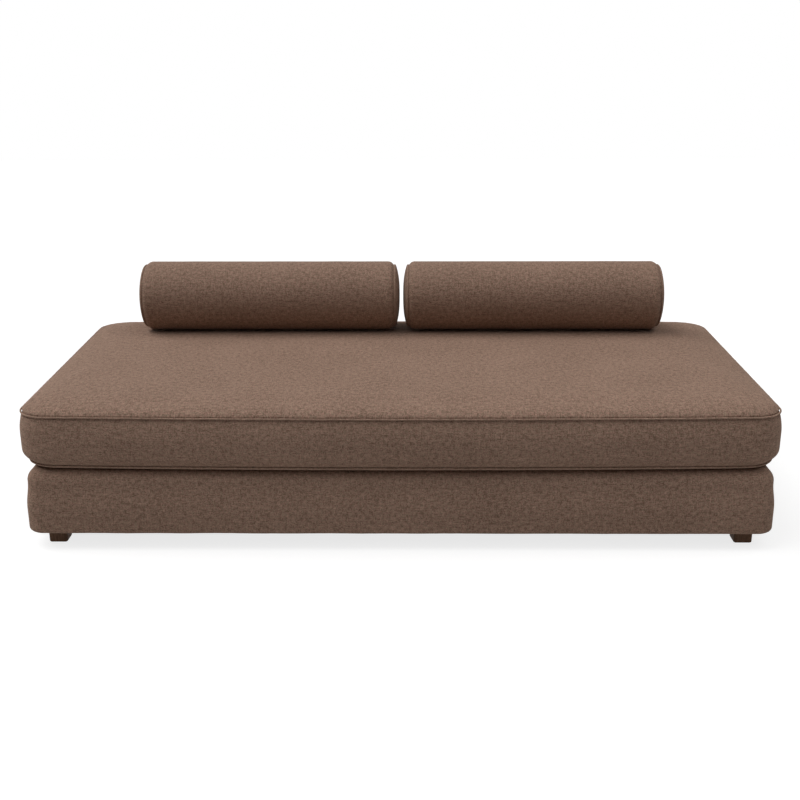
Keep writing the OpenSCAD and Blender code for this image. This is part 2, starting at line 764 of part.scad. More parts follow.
color(linen) bolster_place(1) bolster_cap(-1);  // bolster_right_cap_inner
color(linen_top) bolster_place(1) bolster_piping();  // bolster_right_piping
color(fibre) bolster_place(1) bolster_core();  // bolster_right_core
bolster_zip_chain(1);  // bolster_right_zip_chain
bolster_zip_slider(1);  // bolster_right_zip_slider
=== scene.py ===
# %% [markdown]
# # A backless divan in linen
# The divan is an upholstered base on five low feet, one long boxed seat cushion and two loose bolsters.
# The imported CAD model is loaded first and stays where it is. Hard parts keep their CAD shape and get a
# finish here. Every soft part is made again in mesh code, in the space its CAD solid holds.

# %% Load the frame
import math

import bmesh
import bpy
import numpy as np
from mathutils import Matrix, Vector


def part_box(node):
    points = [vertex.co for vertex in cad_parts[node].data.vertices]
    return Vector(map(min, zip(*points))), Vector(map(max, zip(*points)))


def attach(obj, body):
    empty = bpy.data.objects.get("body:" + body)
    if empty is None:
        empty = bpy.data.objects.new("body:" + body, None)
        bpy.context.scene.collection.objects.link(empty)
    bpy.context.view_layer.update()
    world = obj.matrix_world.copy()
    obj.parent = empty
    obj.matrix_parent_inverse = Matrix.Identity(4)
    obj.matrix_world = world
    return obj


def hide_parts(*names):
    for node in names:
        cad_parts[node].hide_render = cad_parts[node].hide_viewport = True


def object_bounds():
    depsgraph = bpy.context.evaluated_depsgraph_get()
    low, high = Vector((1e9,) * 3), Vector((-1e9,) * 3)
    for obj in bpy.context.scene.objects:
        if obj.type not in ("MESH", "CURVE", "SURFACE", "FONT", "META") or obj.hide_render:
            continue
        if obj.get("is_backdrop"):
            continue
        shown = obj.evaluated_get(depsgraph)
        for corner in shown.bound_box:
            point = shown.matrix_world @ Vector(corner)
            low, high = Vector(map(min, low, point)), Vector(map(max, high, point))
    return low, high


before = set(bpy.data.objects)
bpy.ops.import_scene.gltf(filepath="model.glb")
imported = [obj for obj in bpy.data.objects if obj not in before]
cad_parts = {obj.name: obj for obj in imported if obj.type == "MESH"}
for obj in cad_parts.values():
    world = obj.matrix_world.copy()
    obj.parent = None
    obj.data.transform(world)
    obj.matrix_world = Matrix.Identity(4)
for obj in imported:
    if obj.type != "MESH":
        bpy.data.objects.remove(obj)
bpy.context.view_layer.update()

MM = 0.001
scene = bpy.context.scene

# %% [markdown]
# ## Camera
# The camera stands where the photographer stood. Its place was found by fitting the divan's known edges
# to the photograph: 3.5 m in front, 1.47 m up, looking 18.6 degrees down with a lens of about 51 mm.
# A camera looks along its own -Z, so its matrix columns are right, up and backwards.

# %% Place the camera
FRAME_PX, FOCAL_PX, SENSOR_MM = 800, 1135.3, 36
CAMERA_AT = (31.7, -3518.1, 1471.5)
pitch, yaw, roll = (math.radians(a) for a in (18.616, -0.56, -0.162))
ahead = Vector((math.sin(yaw) * math.cos(pitch), math.cos(yaw) * math.cos(pitch), -math.sin(pitch)))
level = Vector((math.cos(yaw), -math.sin(yaw), 0))
upward = level.cross(ahead)
right = level * math.cos(roll) + upward * math.sin(roll)
upward = upward * math.cos(roll) - level * math.sin(roll)
camera = bpy.data.objects.new("camera", bpy.data.cameras.new("camera"))
scene.collection.objects.link(camera)
camera.data.sensor_width = SENSOR_MM
camera.data.lens = SENSOR_MM * FOCAL_PX / FRAME_PX
camera.matrix_world = Matrix.Translation(Vector(CAMERA_AT) * MM) @ Matrix(
    (right, upward, -ahead)).transposed().to_4x4()
scene.camera = camera
print("lens", round(camera.data.lens, 2), "mm")

# %% [markdown]
# ## One way to add a node
# Each shader below is a small tree. One function adds a node, sets its options, and fills its inputs with
# either a value or another node's output, so a tree reads from top to bottom like a recipe.

# %% Node and colour helpers
def add(tree, kind, inputs=None, **settings):
    node = tree.nodes.new("ShaderNode" + kind)
    for name, value in settings.items():
        setattr(node, name, value)
    for key, value in (inputs or {}).items():
        if isinstance(value, bpy.types.NodeSocket):
            tree.links.new(value, node.inputs[key])
        else:
            node.inputs[key].default_value = value
    return node


def linear(code):
    """An sRGB colour such as '8d7566' as the linear red, green, blue and alpha that Blender wants."""
    parts = [int(code[i:i + 2], 16) / 255 for i in (0, 2, 4)]
    return (*[p / 12.92 if p <= 0.04045 else ((p + 0.055) / 1.055) ** 2.4 for p in parts], 1)


def new_finish(name, **inputs):
    """A material with one Principled shader, whose even values sit on its own sockets."""
    material = bpy.data.materials.new(name)
    material.use_nodes = True
    material.node_tree.nodes.clear()
    shader = add(material.node_tree, "BsdfPrincipled", {k.replace("_", " "): v for k, v in inputs.items()})
    add(material.node_tree, "OutputMaterial", {"Surface": shader.outputs[0]})
    return material, material.node_tree, shader


def blend(tree, share, dark, pale):
    """Between two sRGB colours, by a share from 0 to 1."""
    return add(tree, "Mix", {0: share, 6: linear(dark), 7: linear(pale)}, data_type="RGBA").outputs[2]


def relieve(tree, shader, strength, distance, height):
    """Lets a height, whose full swing is a distance in metres, turn the shader's normal."""
    bump = add(tree, "Bump", {"Strength": strength, "Distance": distance, "Height": height})
    tree.links.new(bump.outputs[0], shader.inputs["Normal"])


print("mid brown is", [round(c, 3) for c in linear("8d7566")[:3]])

# %% [markdown]
# ## Studio
# The photograph is a cut-out. Its light is soft and comes from high screens on the left, the right and the
# front, the left one brightest, with a little more from behind on the left that brightens the edges. A sun
# lamp with a wide disc is such a screen: it gives even light from one side and shadows with a wide soft
# edge. The pale floor throws light back up at the sides. To the camera the floor and backdrop add a glow of
# their own, so they show white, and the floor still takes the divan's soft shadow.

# %% Floor and backdrop
def camera_or_glossy(tree):
    """The light path, and a value of 1 for what the camera or a gloss sees directly."""
    ray = add(tree, "LightPath")
    return ray, add(tree, "Math", {0: ray.outputs["Is Camera Ray"], 1: ray.outputs["Is Glossy Ray"]},
                    operation="MAXIMUM")


floor_half = 9.0
floor_mesh = bpy.data.meshes.new("floor")
corners = ((-1, -1), (1, -1), (1, 1), (-1, 1))
floor_mesh.from_pydata([(x * floor_half, y * floor_half, 0) for x, y in corners], [], [(0, 1, 2, 3)])
floor = bpy.data.objects.new("floor", floor_mesh)
scene.collection.objects.link(floor)
floor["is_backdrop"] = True
paper = bpy.data.materials.new("studio_paper")
paper.use_nodes = True
tree = paper.node_tree
tree.nodes.clear()
ray, seen = camera_or_glossy(tree)
shown = add(tree, "AddShader", {
    0: add(tree, "BsdfDiffuse", {"Color": (0.40, 0.40, 0.40, 1)}).outputs[0],
    1: add(tree, "Emission", {"Color": (1, 1, 1, 1), "Strength": 0.78}).outputs[0]})
bounced = add(tree, "BsdfDiffuse", {"Color": (0.56, 0.55, 0.54, 1)})
add(tree, "OutputMaterial", {"Surface": add(tree, "MixShader", {
    0: seen.outputs[0], 1: bounced.outputs[0], 2: shown.outputs[0]}).outputs[0]})
floor_mesh.materials.append(paper)

world = bpy.data.worlds.new("studio")
scene.world = world
world.use_nodes = True
tree = world.node_tree
tree.nodes.clear()
ray, seen = camera_or_glossy(tree)
seen = add(tree, "Math", {0: seen.outputs[0], 1: ray.outputs["Is Transmission Ray"]}, operation="MAXIMUM")
WORLD_FILL = 0.015
add(tree, "OutputWorld", {"Surface": add(tree, "MixShader", {
    0: seen.outputs[0],
    1: add(tree, "Background", {"Color": (1, 0.98, 0.96, 1), "Strength": WORLD_FILL}).outputs[0],
    2: add(tree, "Background", {"Color": (1, 1, 1, 1), "Strength": 1.0}).outputs[0]}).outputs[0]})
print("floor", 2 * floor_half, "m square")

# %% Soft lamps
SCREEN_SPREAD = 45


def screen(name, turn, height, strength):
    """Soft light from a large screen, turned round the divan from its front, at a height in degrees."""
    lamp = bpy.data.lights.new(name, "SUN")
    lamp.energy, lamp.angle = strength, math.radians(SCREEN_SPREAD)
    stand = bpy.data.objects.new(name, lamp)
    scene.collection.objects.link(stand)
    a, h = math.radians(turn), math.radians(height)
    towards = Vector((math.sin(a) * math.cos(h), -math.cos(a) * math.cos(h), math.sin(h)))
    stand.rotation_euler = towards.to_track_quat("Z", "Y").to_euler()


screen("left_screen", -90, 60, 1.51)
screen("right_screen", 90, 60, 0.53)
screen("front_screen", 0, 52, 0.50)
screen("back_left_screen", -135, 30, 0.33)
scene.view_settings.view_transform = "Standard"

# %% [markdown]
# ## Linen
# The cover is a plain-weave upholstery linen in mixed brown yarns. Its threads are about 0.8 mm apart. At
# 3 mm a pixel that is too fine to see, so the weave is drawn at 1.6 mm, and what the eye reads from afar is
# the mottle of the spun yarn: short thick places a few millimetres long, some reddish, some olive, and
# longer slubs along both threads. Each is a noise at its real size. Flax is matt, with a faint pale bloom
# of loose fibres at grazing angles, which is the shader's sheen. The cloth map of a piece is in metres.

# %% The linen finish
THREAD = 1.6 * MM  # drawn twice as coarse as the real thread
SLUB_RUN, SLUB_WIDTH = 30 * MM, 2.6 * MM
MOTTLE, YARN_MIX = 3.4 * MM, 7.0 * MM
SPUN, DYE_PATCH = 12 * MM, 230 * MM


def linen(name, turn=0.0, slub=1.0, shade=("765b4e", "bb9684", "6a5646", "a68e7a")):
    """Shade holds the dark and pale of the reddish yarn, then of the olive one."""
    material, tree, shader = new_finish(name, Roughness=0.92, IOR=1.5, Sheen_Weight=0.2,
                                        Sheen_Roughness=0.45, Sheen_Tint=linear("cdb5a2"))
    shader.inputs["Specular IOR Level"].default_value = 0.25
    laid = add(tree, "Mapping", {"Vector": add(tree, "UVMap", uv_map="cloth").outputs[0],
                                 "Rotation": (0, 0, turn)})

    def noise(run, width, detail):
        cell = add(tree, "Mapping", {"Vector": laid.outputs[0], "Scale": (1 / run, 1 / width, 1)})
        return add(tree, "TexNoise", {"Vector": cell.outputs[0], "Scale": 1.0, "Detail": detail,
                                      "Roughness": 0.6}).outputs["Fac"]

    def spread(value, reach, around=0.0):
        """A noise, which mostly stays between 0.3 and 0.7, spread to plus and minus a reach."""
        return add(tree, "MapRange", {0: value, 1: 0.3, 2: 0.7, 3: around - reach, 4: around + reach},
                   clamp=False).outputs[0]

    # plain weave: the sign of the product of two sines says which thread lies on top
    parts = add(tree, "SeparateXYZ", {0: laid.outputs[0]})
    waves = [add(tree, "Math", {0: add(tree, "Math", {0: parts.outputs[i], 1: math.pi / THREAD},
                                       operation="MULTIPLY").outputs[0]}, operation="SINE") for i in (0, 1)]
    weave = add(tree, "Math", {0: waves[0].outputs[0], 1: waves[1].outputs[0]}, operation="MULTIPLY")
    tone = spread(noise(MOTTLE, MOTTLE, 2.0), 0.34, 0.5)
    for part in (spread(noise(SLUB_RUN, SLUB_WIDTH, 1.0), 0.15 * slub),
                 spread(noise(SLUB_WIDTH, SLUB_RUN * 0.8, 1.0), 0.12 * slub),
                 spread(noise(SPUN, SPUN, 3.0), 0.27), spread(noise(DYE_PATCH, DYE_PATCH, 2.0), 0.07)):
        tone = add(tree, "Math", {0: tone, 1: part}, operation="ADD").outputs[0]
    tone = add(tree, "Math", {0: weave.outputs[0], 1: 0.05, 2: tone}, operation="MULTIPLY_ADD",
               use_clamp=True).outputs[0]
    yarns = [blend(tree, tone, dark, pale) for dark, pale in (shade[:2], shade[2:])]
    which = add(tree, "MapRange", {0: noise(YARN_MIX, YARN_MIX * 0.8, 1.0), 1: 0.35, 2: 0.65}).outputs[0]
    cloth = add(tree, "Mix", {0: which, 6: yarns[0], 7: yarns[1]}, data_type="RGBA")
    tree.links.new(cloth.outputs[2], shader.inputs["Base Color"])
    relief = add(tree, "Math", {0: tone, 1: 0.8, 2: weave.outputs[0]}, operation="MULTIPLY_ADD")
    relieve(tree, shader, 0.3, 0.4 * MM, relief.outputs[0])
    tree.links.new(add(tree, "MapRange", {0: tone, 3: 0.97, 4: 0.86}).outputs[0], shader.inputs["Roughness"])
    return material


LINEN = linen("linen_plain_weave")
LINEN_BIAS = linen("linen_bias_cut", turn=math.radians(45), slub=0.5,
                   shade=("7b6053", "c09b89", "6f5b4b", "ab937f"))
print("threads per metre:", round(1 / THREAD))

# %% [markdown]
# ## Other cloths and the fillings
# Inside are plainer stuffs: cut polyurethane foam with open pores, a fluffy polyester fibre wrap, a black
# spunbonded lining with its grid of small dimples, ribbed elastic webbing, and the woven tape and nylon coil
# of the zips. Foam and fibre have no thread direction, so their patterns live in space and need no map.

# %% Finishes of the soft parts
def mottled(name, dark, pale, size, depth, **inputs):
    """A finish whose colour and relief follow one noise in space, of a real size in metres."""
    material, tree, shader = new_finish(name, **inputs)
    where = add(tree, "TexCoord").outputs["Object"]
    grain = add(tree, "TexNoise", {"Vector": where, "Scale": 1 / size, "Detail": 4.0,
                                   "Roughness": 0.65}).outputs["Fac"]
    tone = add(tree, "MapRange", {0: grain, 1: 0.32, 2: 0.68}).outputs[0]
    tree.links.new(blend(tree, tone, dark, pale), shader.inputs["Base Color"])
    relieve(tree, shader, 0.5, depth, grain)
    return material


def ribbed(name, dark, pale, pitch, cross=None, stripe=None, **inputs):
    """A woven or bonded stuff on the cloth map: ribs at a pitch, across them a second pitch, and a stripe."""
    material, tree, shader = new_finish(name, **inputs)
    parts = add(tree, "SeparateXYZ", {0: add(tree, "UVMap", uv_map="cloth").outputs[0]})
    relief = None
    for axis, step in ((0, pitch), (1, cross or pitch)):
        angle = add(tree, "Math", {0: parts.outputs[axis], 1: math.tau / step}, operation="MULTIPLY")
        wave = add(tree, "Math", {0: angle.outputs[0]}, operation="SINE").outputs[0]
        relief = wave if relief is None else add(tree, "Math", {0: relief, 1: wave},
                                                 operation="MULTIPLY").outputs[0]
    fuzz = add(tree, "TexNoise", {"Vector": add(tree, "TexCoord").outputs["Object"], "Scale": 1 / (3 * MM),
                                  "Detail": 2.0}).outputs["Fac"]
    tone = add(tree, "Math", {0: relief, 1: 0.28, 2: fuzz}, operation="MULTIPLY_ADD", use_clamp=True)
    colour = blend(tree, tone.outputs[0], dark, pale)
    if stripe:
        line_at = add(tree, "Math", {0: parts.outputs[1], 1: stripe[1]}, operation="PINGPONG").outputs[0]
        on = add(tree, "MapRange", {0: line_at, 1: stripe[1] * 0.62, 2: stripe[1] * 0.68}).outputs[0]
        colour = add(tree, "Mix", {0: on, 6: colour, 7: linear(stripe[0])}, data_type="RGBA").outputs[2]
    tree.links.new(colour, shader.inputs["Base Color"])
    relieve(tree, shader, 0.4, 0.3 * MM, relief)
    return material


FOAM = mottled("polyurethane_foam_cut", "c9b98a", "e6dcb8", 1.8 * MM, 0.4 * MM, Roughness=0.95, IOR=1.5)
FIBRE = mottled("polyester_fibre_carded", "d9d8d2", "f2f1ec", 6 * MM, 1.5 * MM, Roughness=1.0, IOR=1.5,
                Sheen_Weight=0.4)
THREAD_DARK = mottled("polyester_thread_twisted", "2f251d", "4a3b2f", 1.2 * MM, 0.1 * MM, Roughness=0.6,
                      IOR=1.55)
LINING = ribbed("polypropylene_lining_spunbonded", "0e0d0c", "2b2927", 1.6 * MM, Roughness=0.9, IOR=1.5)
WEBBING = ribbed("elastic_webbing_woven", "1c1a18", "3c3833", 2.4 * MM, 7 * MM, ("8c7a62", 12.5 * MM),
                 Roughness=0.85, IOR=1.5)
TAPE = ribbed("polyester_tape_woven", "2a2019", "4b3a2e", 1.4 * MM, Roughness=0.85, IOR=1.55)
COIL = mottled("nylon_coil_moulded", "2b221b", "4a3c31", 2.0 * MM, 0.05 * MM, Roughness=0.42, IOR=1.53)
print("soft finishes ready")

# %% [markdown]
# ## Surfaces as grids
# Sewn covers are made of panels, and a panel is a grid: rows of points that follow each other. The map that
# carries the weave is stored with the grid, in metres, so threads run straight on every panel.
# A grid that closes on itself repeats its first column, with the map carried on and not jumping back.

# %% Grid and piece helpers
def make_piece(name, verts, faces, maps, finish, body):
    """A mesh piece from points in mm, faces, and, for cloth, one map point in mm for each face corner."""
    mesh = bpy.data.meshes.new(name)
    mesh.from_pydata((np.asarray(verts, float) * MM).tolist(), [], [list(map(int, f)) for f in faces])
    if maps is not None:
        layer = mesh.uv_layers.new(name="cloth")
        layer.data.foreach_set("uv", (np.asarray(maps, np.float32) * MM).ravel())
    mesh.polygons.foreach_set("use_smooth", [True] * len(mesh.polygons))
    mesh.materials.append(finish)
    mesh.update()
    piece = bpy.data.objects.new(name, mesh)
    scene.collection.objects.link(piece)
    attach(piece, body)
    return piece


def grid_faces(rows, columns, wrap, start=0):
    """Face corners of a grid whose points follow row by row, and the matching corners of its map grid."""
    wide = columns if wrap else columns - 1
    i, j = (a.ravel() for a in np.meshgrid(np.arange(rows - 1), np.arange(wide), indexing="ij"))
    k = (j + 1) % columns
    corners = np.stack([i * columns + j, i * columns + k, (i + 1) * columns + k, (i + 1) * columns + j], 1)
    w = columns + 1 if wrap else columns
    mapped = np.stack([i * w + j, i * w + j + 1, (i + 1) * w + j + 1, (i + 1) * w + j], 1)
    return corners + start, mapped


def lengths(path):
    """How far along a path each of its points lies."""
    return np.concatenate([[0], np.cumsum(np.linalg.norm(np.diff(path, axis=0), axis=1))])


def girth_map(grid, wrap, start=(0, 0)):
    """A map by length: along the middle row, and down the first column."""
    ring = np.concatenate([grid, grid[:, :1]], 1) if wrap else grid
    along, down = lengths(ring[len(ring) // 2]), lengths(ring[:, 0])
    return np.stack(np.meshgrid(along + start[0], down + start[1]), -1)


def grid_piece(name, grid, wrap, finish, body, maps=None, keep=None):
    """A panel from a grid of points. keep says which faces stay, as where a zip opens the cloth."""
    grid = np.asarray(grid, float)
    corners, mapped = grid_faces(*grid.shape[:2], wrap)
    maps = girth_map(grid, wrap) if maps is None else maps
    if keep is not None:
        corners, mapped = corners[keep.ravel()], mapped[keep.ravel()]
    return make_piece(name, grid.reshape(-1, 3), corners, maps.reshape(-1, 2)[mapped.ravel()], finish, body)


def refine(piece, push=None):
    """Subdivides a piece once, and then moves each point along its normal by push(points), all in mm."""
    finer_form = piece.modifiers.new("finer", "SUBSURF")
    finer_form.levels = finer_form.render_levels = 1
    mesh = bpy.data.meshes.new_from_object(piece.evaluated_get(bpy.context.evaluated_depsgraph_get()))
    piece.modifiers.clear()
    coarse, piece.data = piece.data, mesh
    bpy.data.meshes.remove(coarse)
    mesh.name = piece.name
    if push is not None:
        where, normal = np.empty(len(mesh.vertices) * 3), np.empty(len(mesh.vertices) * 3)
        mesh.vertices.foreach_get("co", where)
        mesh.vertices.foreach_get("normal", normal)
        where, normal = where.reshape(-1, 3) / MM, normal.reshape(-1, 3)
        mesh.vertices.foreach_set("co", ((where + normal * push(where)[:, None]) * MM).ravel())
        mesh.update()
    return piece


def sewn(piece, thickness):
    """A cover: its cloth, a sheet, thickens inwards by a thickness in mm."""
    skin = piece.modifiers.new("cloth", "SOLIDIFY")
    skin.thickness, skin.offset, skin.use_even_offset = thickness * MM, -1, False
    return piece


def wobble(x, y, scale, seed):
    """A smooth, repeatable unevenness between -1 and 1, from a few waves that never line up."""
    spin = np.random.default_rng(seed)
    total = np.zeros(np.broadcast(x, y).shape)
    for _ in range(5):
        angle, phase, stretch = spin.uniform(0, math.tau), spin.uniform(0, math.tau), spin.uniform(0.7, 1.9)
        total += np.sin((x * math.cos(angle) + y * math.sin(angle)) * math.tau * stretch / scale + phase)
    return total / 5


print("grid helpers ready")

# %% [markdown]
# ## Sizes
# These are the CAD's own lengths, in mm, and every soft piece is drawn from them. The bottoms of three CAD
# nodes confirm three of the levels, so a wrong number there would show at once.

# %% The divan's lengths
CLOTH = 2.0
BASE_W, BASE_D, BASE_Z0, BASE_Z1 = 2176.0, 1056.0, 52.0, 250.0
BASE_CORNER, BASE_HEM = 54.0, 10.0
SEAT_HALF_W, SEAT_HALF_D, FRONT_BOW = 1100.0, 540.0, 16.0
SEAT_Z0, PIPING_R = 250.3, 3.0
LAND = PIPING_R * math.sin(math.radians(60))
PIPING_LOW = SEAT_Z0 + CLOTH + LAND
PIPING_TOP = PIPING_LOW + 152
BOXING_Z0, BOXING_Z1, PANEL_Z0 = PIPING_LOW + LAND, PIPING_TOP - LAND, PIPING_TOP + LAND
TOP_DRAW, LOW_DRAW, SEAT_CORNER, LOW_CORNER = 13.0, 16.0, 86.0, 100.0
ZIP_HALF, ZIP_DRAW, SEAT_ZIP_Y = 900.0, 7.0, 531.0
ZIP_Z = BOXING_Z1 - (0.2 + 0.72) / 2 * (BOXING_Z1 - BOXING_Z0)
for node, want in (("seat_top_panel", PANEL_Z0), ("seat_boxing", BOXING_Z0), ("base_cover", BASE_Z0)):
    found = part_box(node)[0].z / MM
    print(node, "bottom", round(found, 2), "expected", round(want, 2))
    assert abs(found - want) < 0.2

# %% [markdown]
# ## Plan of the seat
# Seen from above the cushion is a rectangle with round corners and a front that bows forward a little.
# Every ring of the cushion is this plan, moved inwards. A ring starts in the middle of the back right
# corner, so that its four sides have matching counts and a plain grid can fill the last ring.

# %% The seat's rings
BACK_EDGE, BACK_ZIP, ACROSS, TURN = 8, 120, 64, 10
ALONG = 2 * BACK_EDGE + BACK_ZIP


def seat_loop(inset, corner, back_extra=0.0):
    hx, yb = SEAT_HALF_W - inset, SEAT_HALF_D - inset - back_extra
    yf, ex = FRONT_BOW - SEAT_HALF_D + inset, SEAT_HALF_W - inset - corner
    zip_x = min(ZIP_HALF, 0.95 * ex)

    def arc(cx, cy, start):
        a = np.radians(start + np.linspace(0, 90, TURN + 1))
        return np.stack([cx + corner * np.cos(a), cy + corner * np.sin(a)], 1)

    def line(a, b, steps):
        return np.linspace(a, b, steps + 1)

    s = np.linspace(-1, 1, ALONG + 1)
    front = np.stack([s * ex, yf - FRONT_BOW * (1 - s * s)], 1)
    back_right = arc(ex, yb - corner, 0)
    half = TURN // 2
    parts = [back_right[half:-1], line((ex, yb), (zip_x, yb), BACK_EDGE)[:-1],
             line((zip_x, yb), (-zip_x, yb), BACK_ZIP)[:-1], line((-zip_x, yb), (-ex, yb), BACK_EDGE)[:-1],
             arc(-ex, yb - corner, 90)[:-1], line((-hx, yb - corner), (-hx, yf + corner), ACROSS)[:-1],
             arc(-ex, yf + corner, 180)[:-1], front[:-1], arc(ex, yf + corner, 270)[:-1],
             line((hx, yf + corner), (hx, yb - corner), ACROSS)[:-1], back_right[:half]]
    return np.concatenate(parts)


def fill_loop(loop):
    """The points inside a ring as a grid between its four sides, and the table of indices that joins them."""
    s, t, n = ALONG + TURN, ACROSS + TURN, len(loop)
    back, left = loop[:s + 1], loop[s:s + t + 1]
    front = loop[s + t:2 * s + t + 1][::-1]
    side = np.concatenate([loop[2 * s + t:], loop[:1]])[::-1]
    v, u = np.meshgrid(np.linspace(0, 1, t + 1), np.linspace(0, 1, s + 1), indexing="ij")
    u, v = u[..., None], v[..., None]
    inner = ((1 - v) * back[None] + v * front[None] + (1 - u) * side[:, None] + u * left[:, None]
             - (1 - u) * (1 - v) * back[0] - u * (1 - v) * back[-1]
             - (1 - u) * v * front[0] - u * v * front[-1])
    table = -np.ones((t + 1, s + 1), int)
    table[0], table[:, s] = np.arange(s + 1), np.arange(s, s + t + 1)
    table[t] = np.arange(s + t, 2 * s + t + 1)[::-1]
    table[:, 0] = np.concatenate([np.arange(2 * s + t, n), [0]])[::-1]
    return inner[1:-1, 1:-1], table


LOOP_N = len(seat_loop(0, 90))
print("points in a ring:", LOOP_N)

# %% [markdown]
# ## Seat cushion: the sewn form
# The cushion is a top panel and a bottom panel joined by an upright boxing, with a piped seam at each edge.
# The seams are the shortest way round, so they draw in and everything between them swells. The top panel
# stands up behind its piping and then crowns, steeply at first and almost flat later, because a fibre wrap
# lies over a foam core. All panels are first one closed form, from the middle of the bottom to the middle
# of the top.

# %% Rows of the cushion
BOLSTER_Y, BOLSTER_X, BOLSTER_LOW = 340.0, 453.25, 436.9
SEAM_IN = 3.2  # the seam lies this far behind the fullest line of its draw, and the piping fills the crease
SEAM_DRAW = 10.0  # 3 mm less than the CAD's draw, as a filled cushion pushes its top seam out


CROWN_RUN, CORNER_SAG, WRAP_RISE, LAST_RISE = 200, 8, 1.8, 4
BACK_SWELL, BACK_ROLL = 21.5, (6, 4)  # a roll is its height and its reach
FRONT_SWELL, FRONT_ROLL, FRONT_LIP = 4.5, (19, 17), (4, 2.5)


def roll(run, height, reach):
    """An edge that rises by a height, most of it within its reach."""
    return height * (1 - np.exp(-run / reach))


def crown(run, x, y):
    """Height of the top over the level of its piping: an edge that rolls over, fuller at the front where no
    bolster presses, a slow swell, soft back corners, and a low rise of the wrap beside the bolsters."""
    slow = 1 - (1 - np.minimum(run / CROWN_RUN, 1)) ** 3
    back = BACK_SWELL * slow + roll(run, *BACK_ROLL)
    front = FRONT_SWELL * slow + roll(run, *FRONT_ROLL) + roll(run, *FRONT_LIP)
    edge = 1 + back + (front - back) * np.clip((-y - 100) / 250, 0, 1)
    corner = np.exp(-(SEAT_HALF_W - np.abs(x)) / 130 - (SEAT_HALF_D - y) / 200)
    edge = edge - CORNER_SAG * np.minimum(run / 20, 1) * corner
    under = np.clip((1040 - np.abs(x)) / 150, 0, 1)
    rise = WRAP_RISE * under * np.exp(-((np.abs(y - BOLSTER_Y) - 72) / 30) ** 2) * np.minimum(run / 120, 1)
    height = edge + LAST_RISE * np.minimum(run / SEAT_HALF_D, 1) + rise
    pressed = BOLSTER_LOW - 0.4 - PIPING_TOP
    near = np.clip(1.6 - np.abs(y - BOLSTER_Y) / 30, 0, 1) * np.clip((905 - np.abs(x)) / 15, 0, 1)
    return np.where(near > 0, height + near * np.minimum(pressed - height, 0), height)


def draws(share):
    """How far the boxing is drawn in by its top seam (share 0) and by its bottom seam (share 1)."""
    return SEAM_DRAW * max(1 - share / 0.36, 0) ** 1.5, LOW_DRAW * max((share - 0.77) / 0.23, 0) ** 1.75


def boxing_draw(share):
    return sum(draws(share)) + SEAM_IN * (math.exp(-share / 0.02) + math.exp((share - 1) / 0.02))


def in_3d(loop, z):
    return np.column_stack([loop, np.broadcast_to(z, len(loop))])


TOP_RUNS = np.array([0, 1.5, 3.5, 6, 10, 16, 25, 36, 50, 66, 84, 104, 128, 154, 180])
BOXING_SHARES = np.concatenate([[0, .02, .045, .08, .12, .17], np.linspace(.23, .72, 8),
                                [.78, .83, .87, .91, .95, .98, 1]])
LEAN, SOFT_SHOULDER, SHOULDER_TOP = 9.0, 38.0, 243.5  # the base's cover leans in under its soft shoulder


def shoulder_level(inset):
    """Height of the base's cover over its shoulder, at a distance in from the base's outline."""
    reach = np.clip(LEAN + SOFT_SHOULDER - inset, 0, SOFT_SHOULDER)
    rise = np.interp(inset, [LEAN + SOFT_SHOULDER, 72], [0, BASE_Z1 - SHOULDER_TOP])
    return SHOULDER_TOP - SOFT_SHOULDER + np.sqrt(SOFT_SHOULDER ** 2 - reach ** 2) + rise


def sagged(loop, run):
    """The bottom panel's level: it sinks a little into the groove over the base's round shoulder."""
    inset = np.minimum(BASE_W / 2 - np.abs(loop[:, 0]), BASE_D / 2 - np.abs(loop[:, 1]))
    free = SEAT_Z0 + np.interp(run, [5, 8, 18, 45, 80], [1.9, 0.3, -6.5, -6.5, 0])
    return np.maximum(free, np.minimum(shoulder_level(inset) + 1, SEAT_Z0))


low_runs = np.array([5, 8, 14, 20, 30, 40, 55, 80, 140])
rows = []
for run in low_runs[::-1]:
    loop = seat_loop(LOW_DRAW + run, LOW_CORNER - 0.15 * run)
    rows.append(in_3d(loop, sagged(loop, run)))
rows.append(in_3d(seat_loop(LOW_DRAW + 4, LOW_CORNER - 4), PIPING_LOW))
SEAM_LOW = len(rows) - 1
for share in BOXING_SHARES[::-1]:
    upper, lower = draws(share)
    full = SEAT_CORNER + SEAM_DRAW - upper
    corner = full + (LOW_CORNER - full) * lower / LOW_DRAW
    level = BOXING_Z1 - share * (BOXING_Z1 - BOXING_Z0)
    rows.append(in_3d(seat_loop(float(boxing_draw(share)), corner), level))
rows.append(in_3d(seat_loop(SEAM_DRAW + 4.4, SEAT_CORNER - 4), PIPING_TOP - 0.4))
SEAM_TOP = len(rows) - 1
for run in TOP_RUNS:
    loop = seat_loop(SEAM_DRAW + run + 3 * math.exp(-run / 2), SEAT_CORNER + 0.25 * run)
    rows.append(in_3d(loop, PIPING_TOP + crown(run, loop[:, 0], loop[:, 1])))
rows = np.array(rows)

# beside the zip, at the back, the boxing is drawn in
zip_side = (np.abs(rows[0, :, 0]) <= ZIP_HALF + 1) & (rows[0, :, 1] > 0)
for k in range(SEAM_LOW + 1, SEAM_TOP):
    near = np.clip(1 - (np.abs(rows[k, :, 2] - ZIP_Z) - 14) / 26, 0, 1)
    ends = np.clip((ZIP_HALF - np.abs(rows[k, :, 0])) / 30, 0, 1)
    rows[k, :, 1] -= np.where(zip_side, ZIP_DRAW * near ** 1.5 * ends ** 0.5, 0)


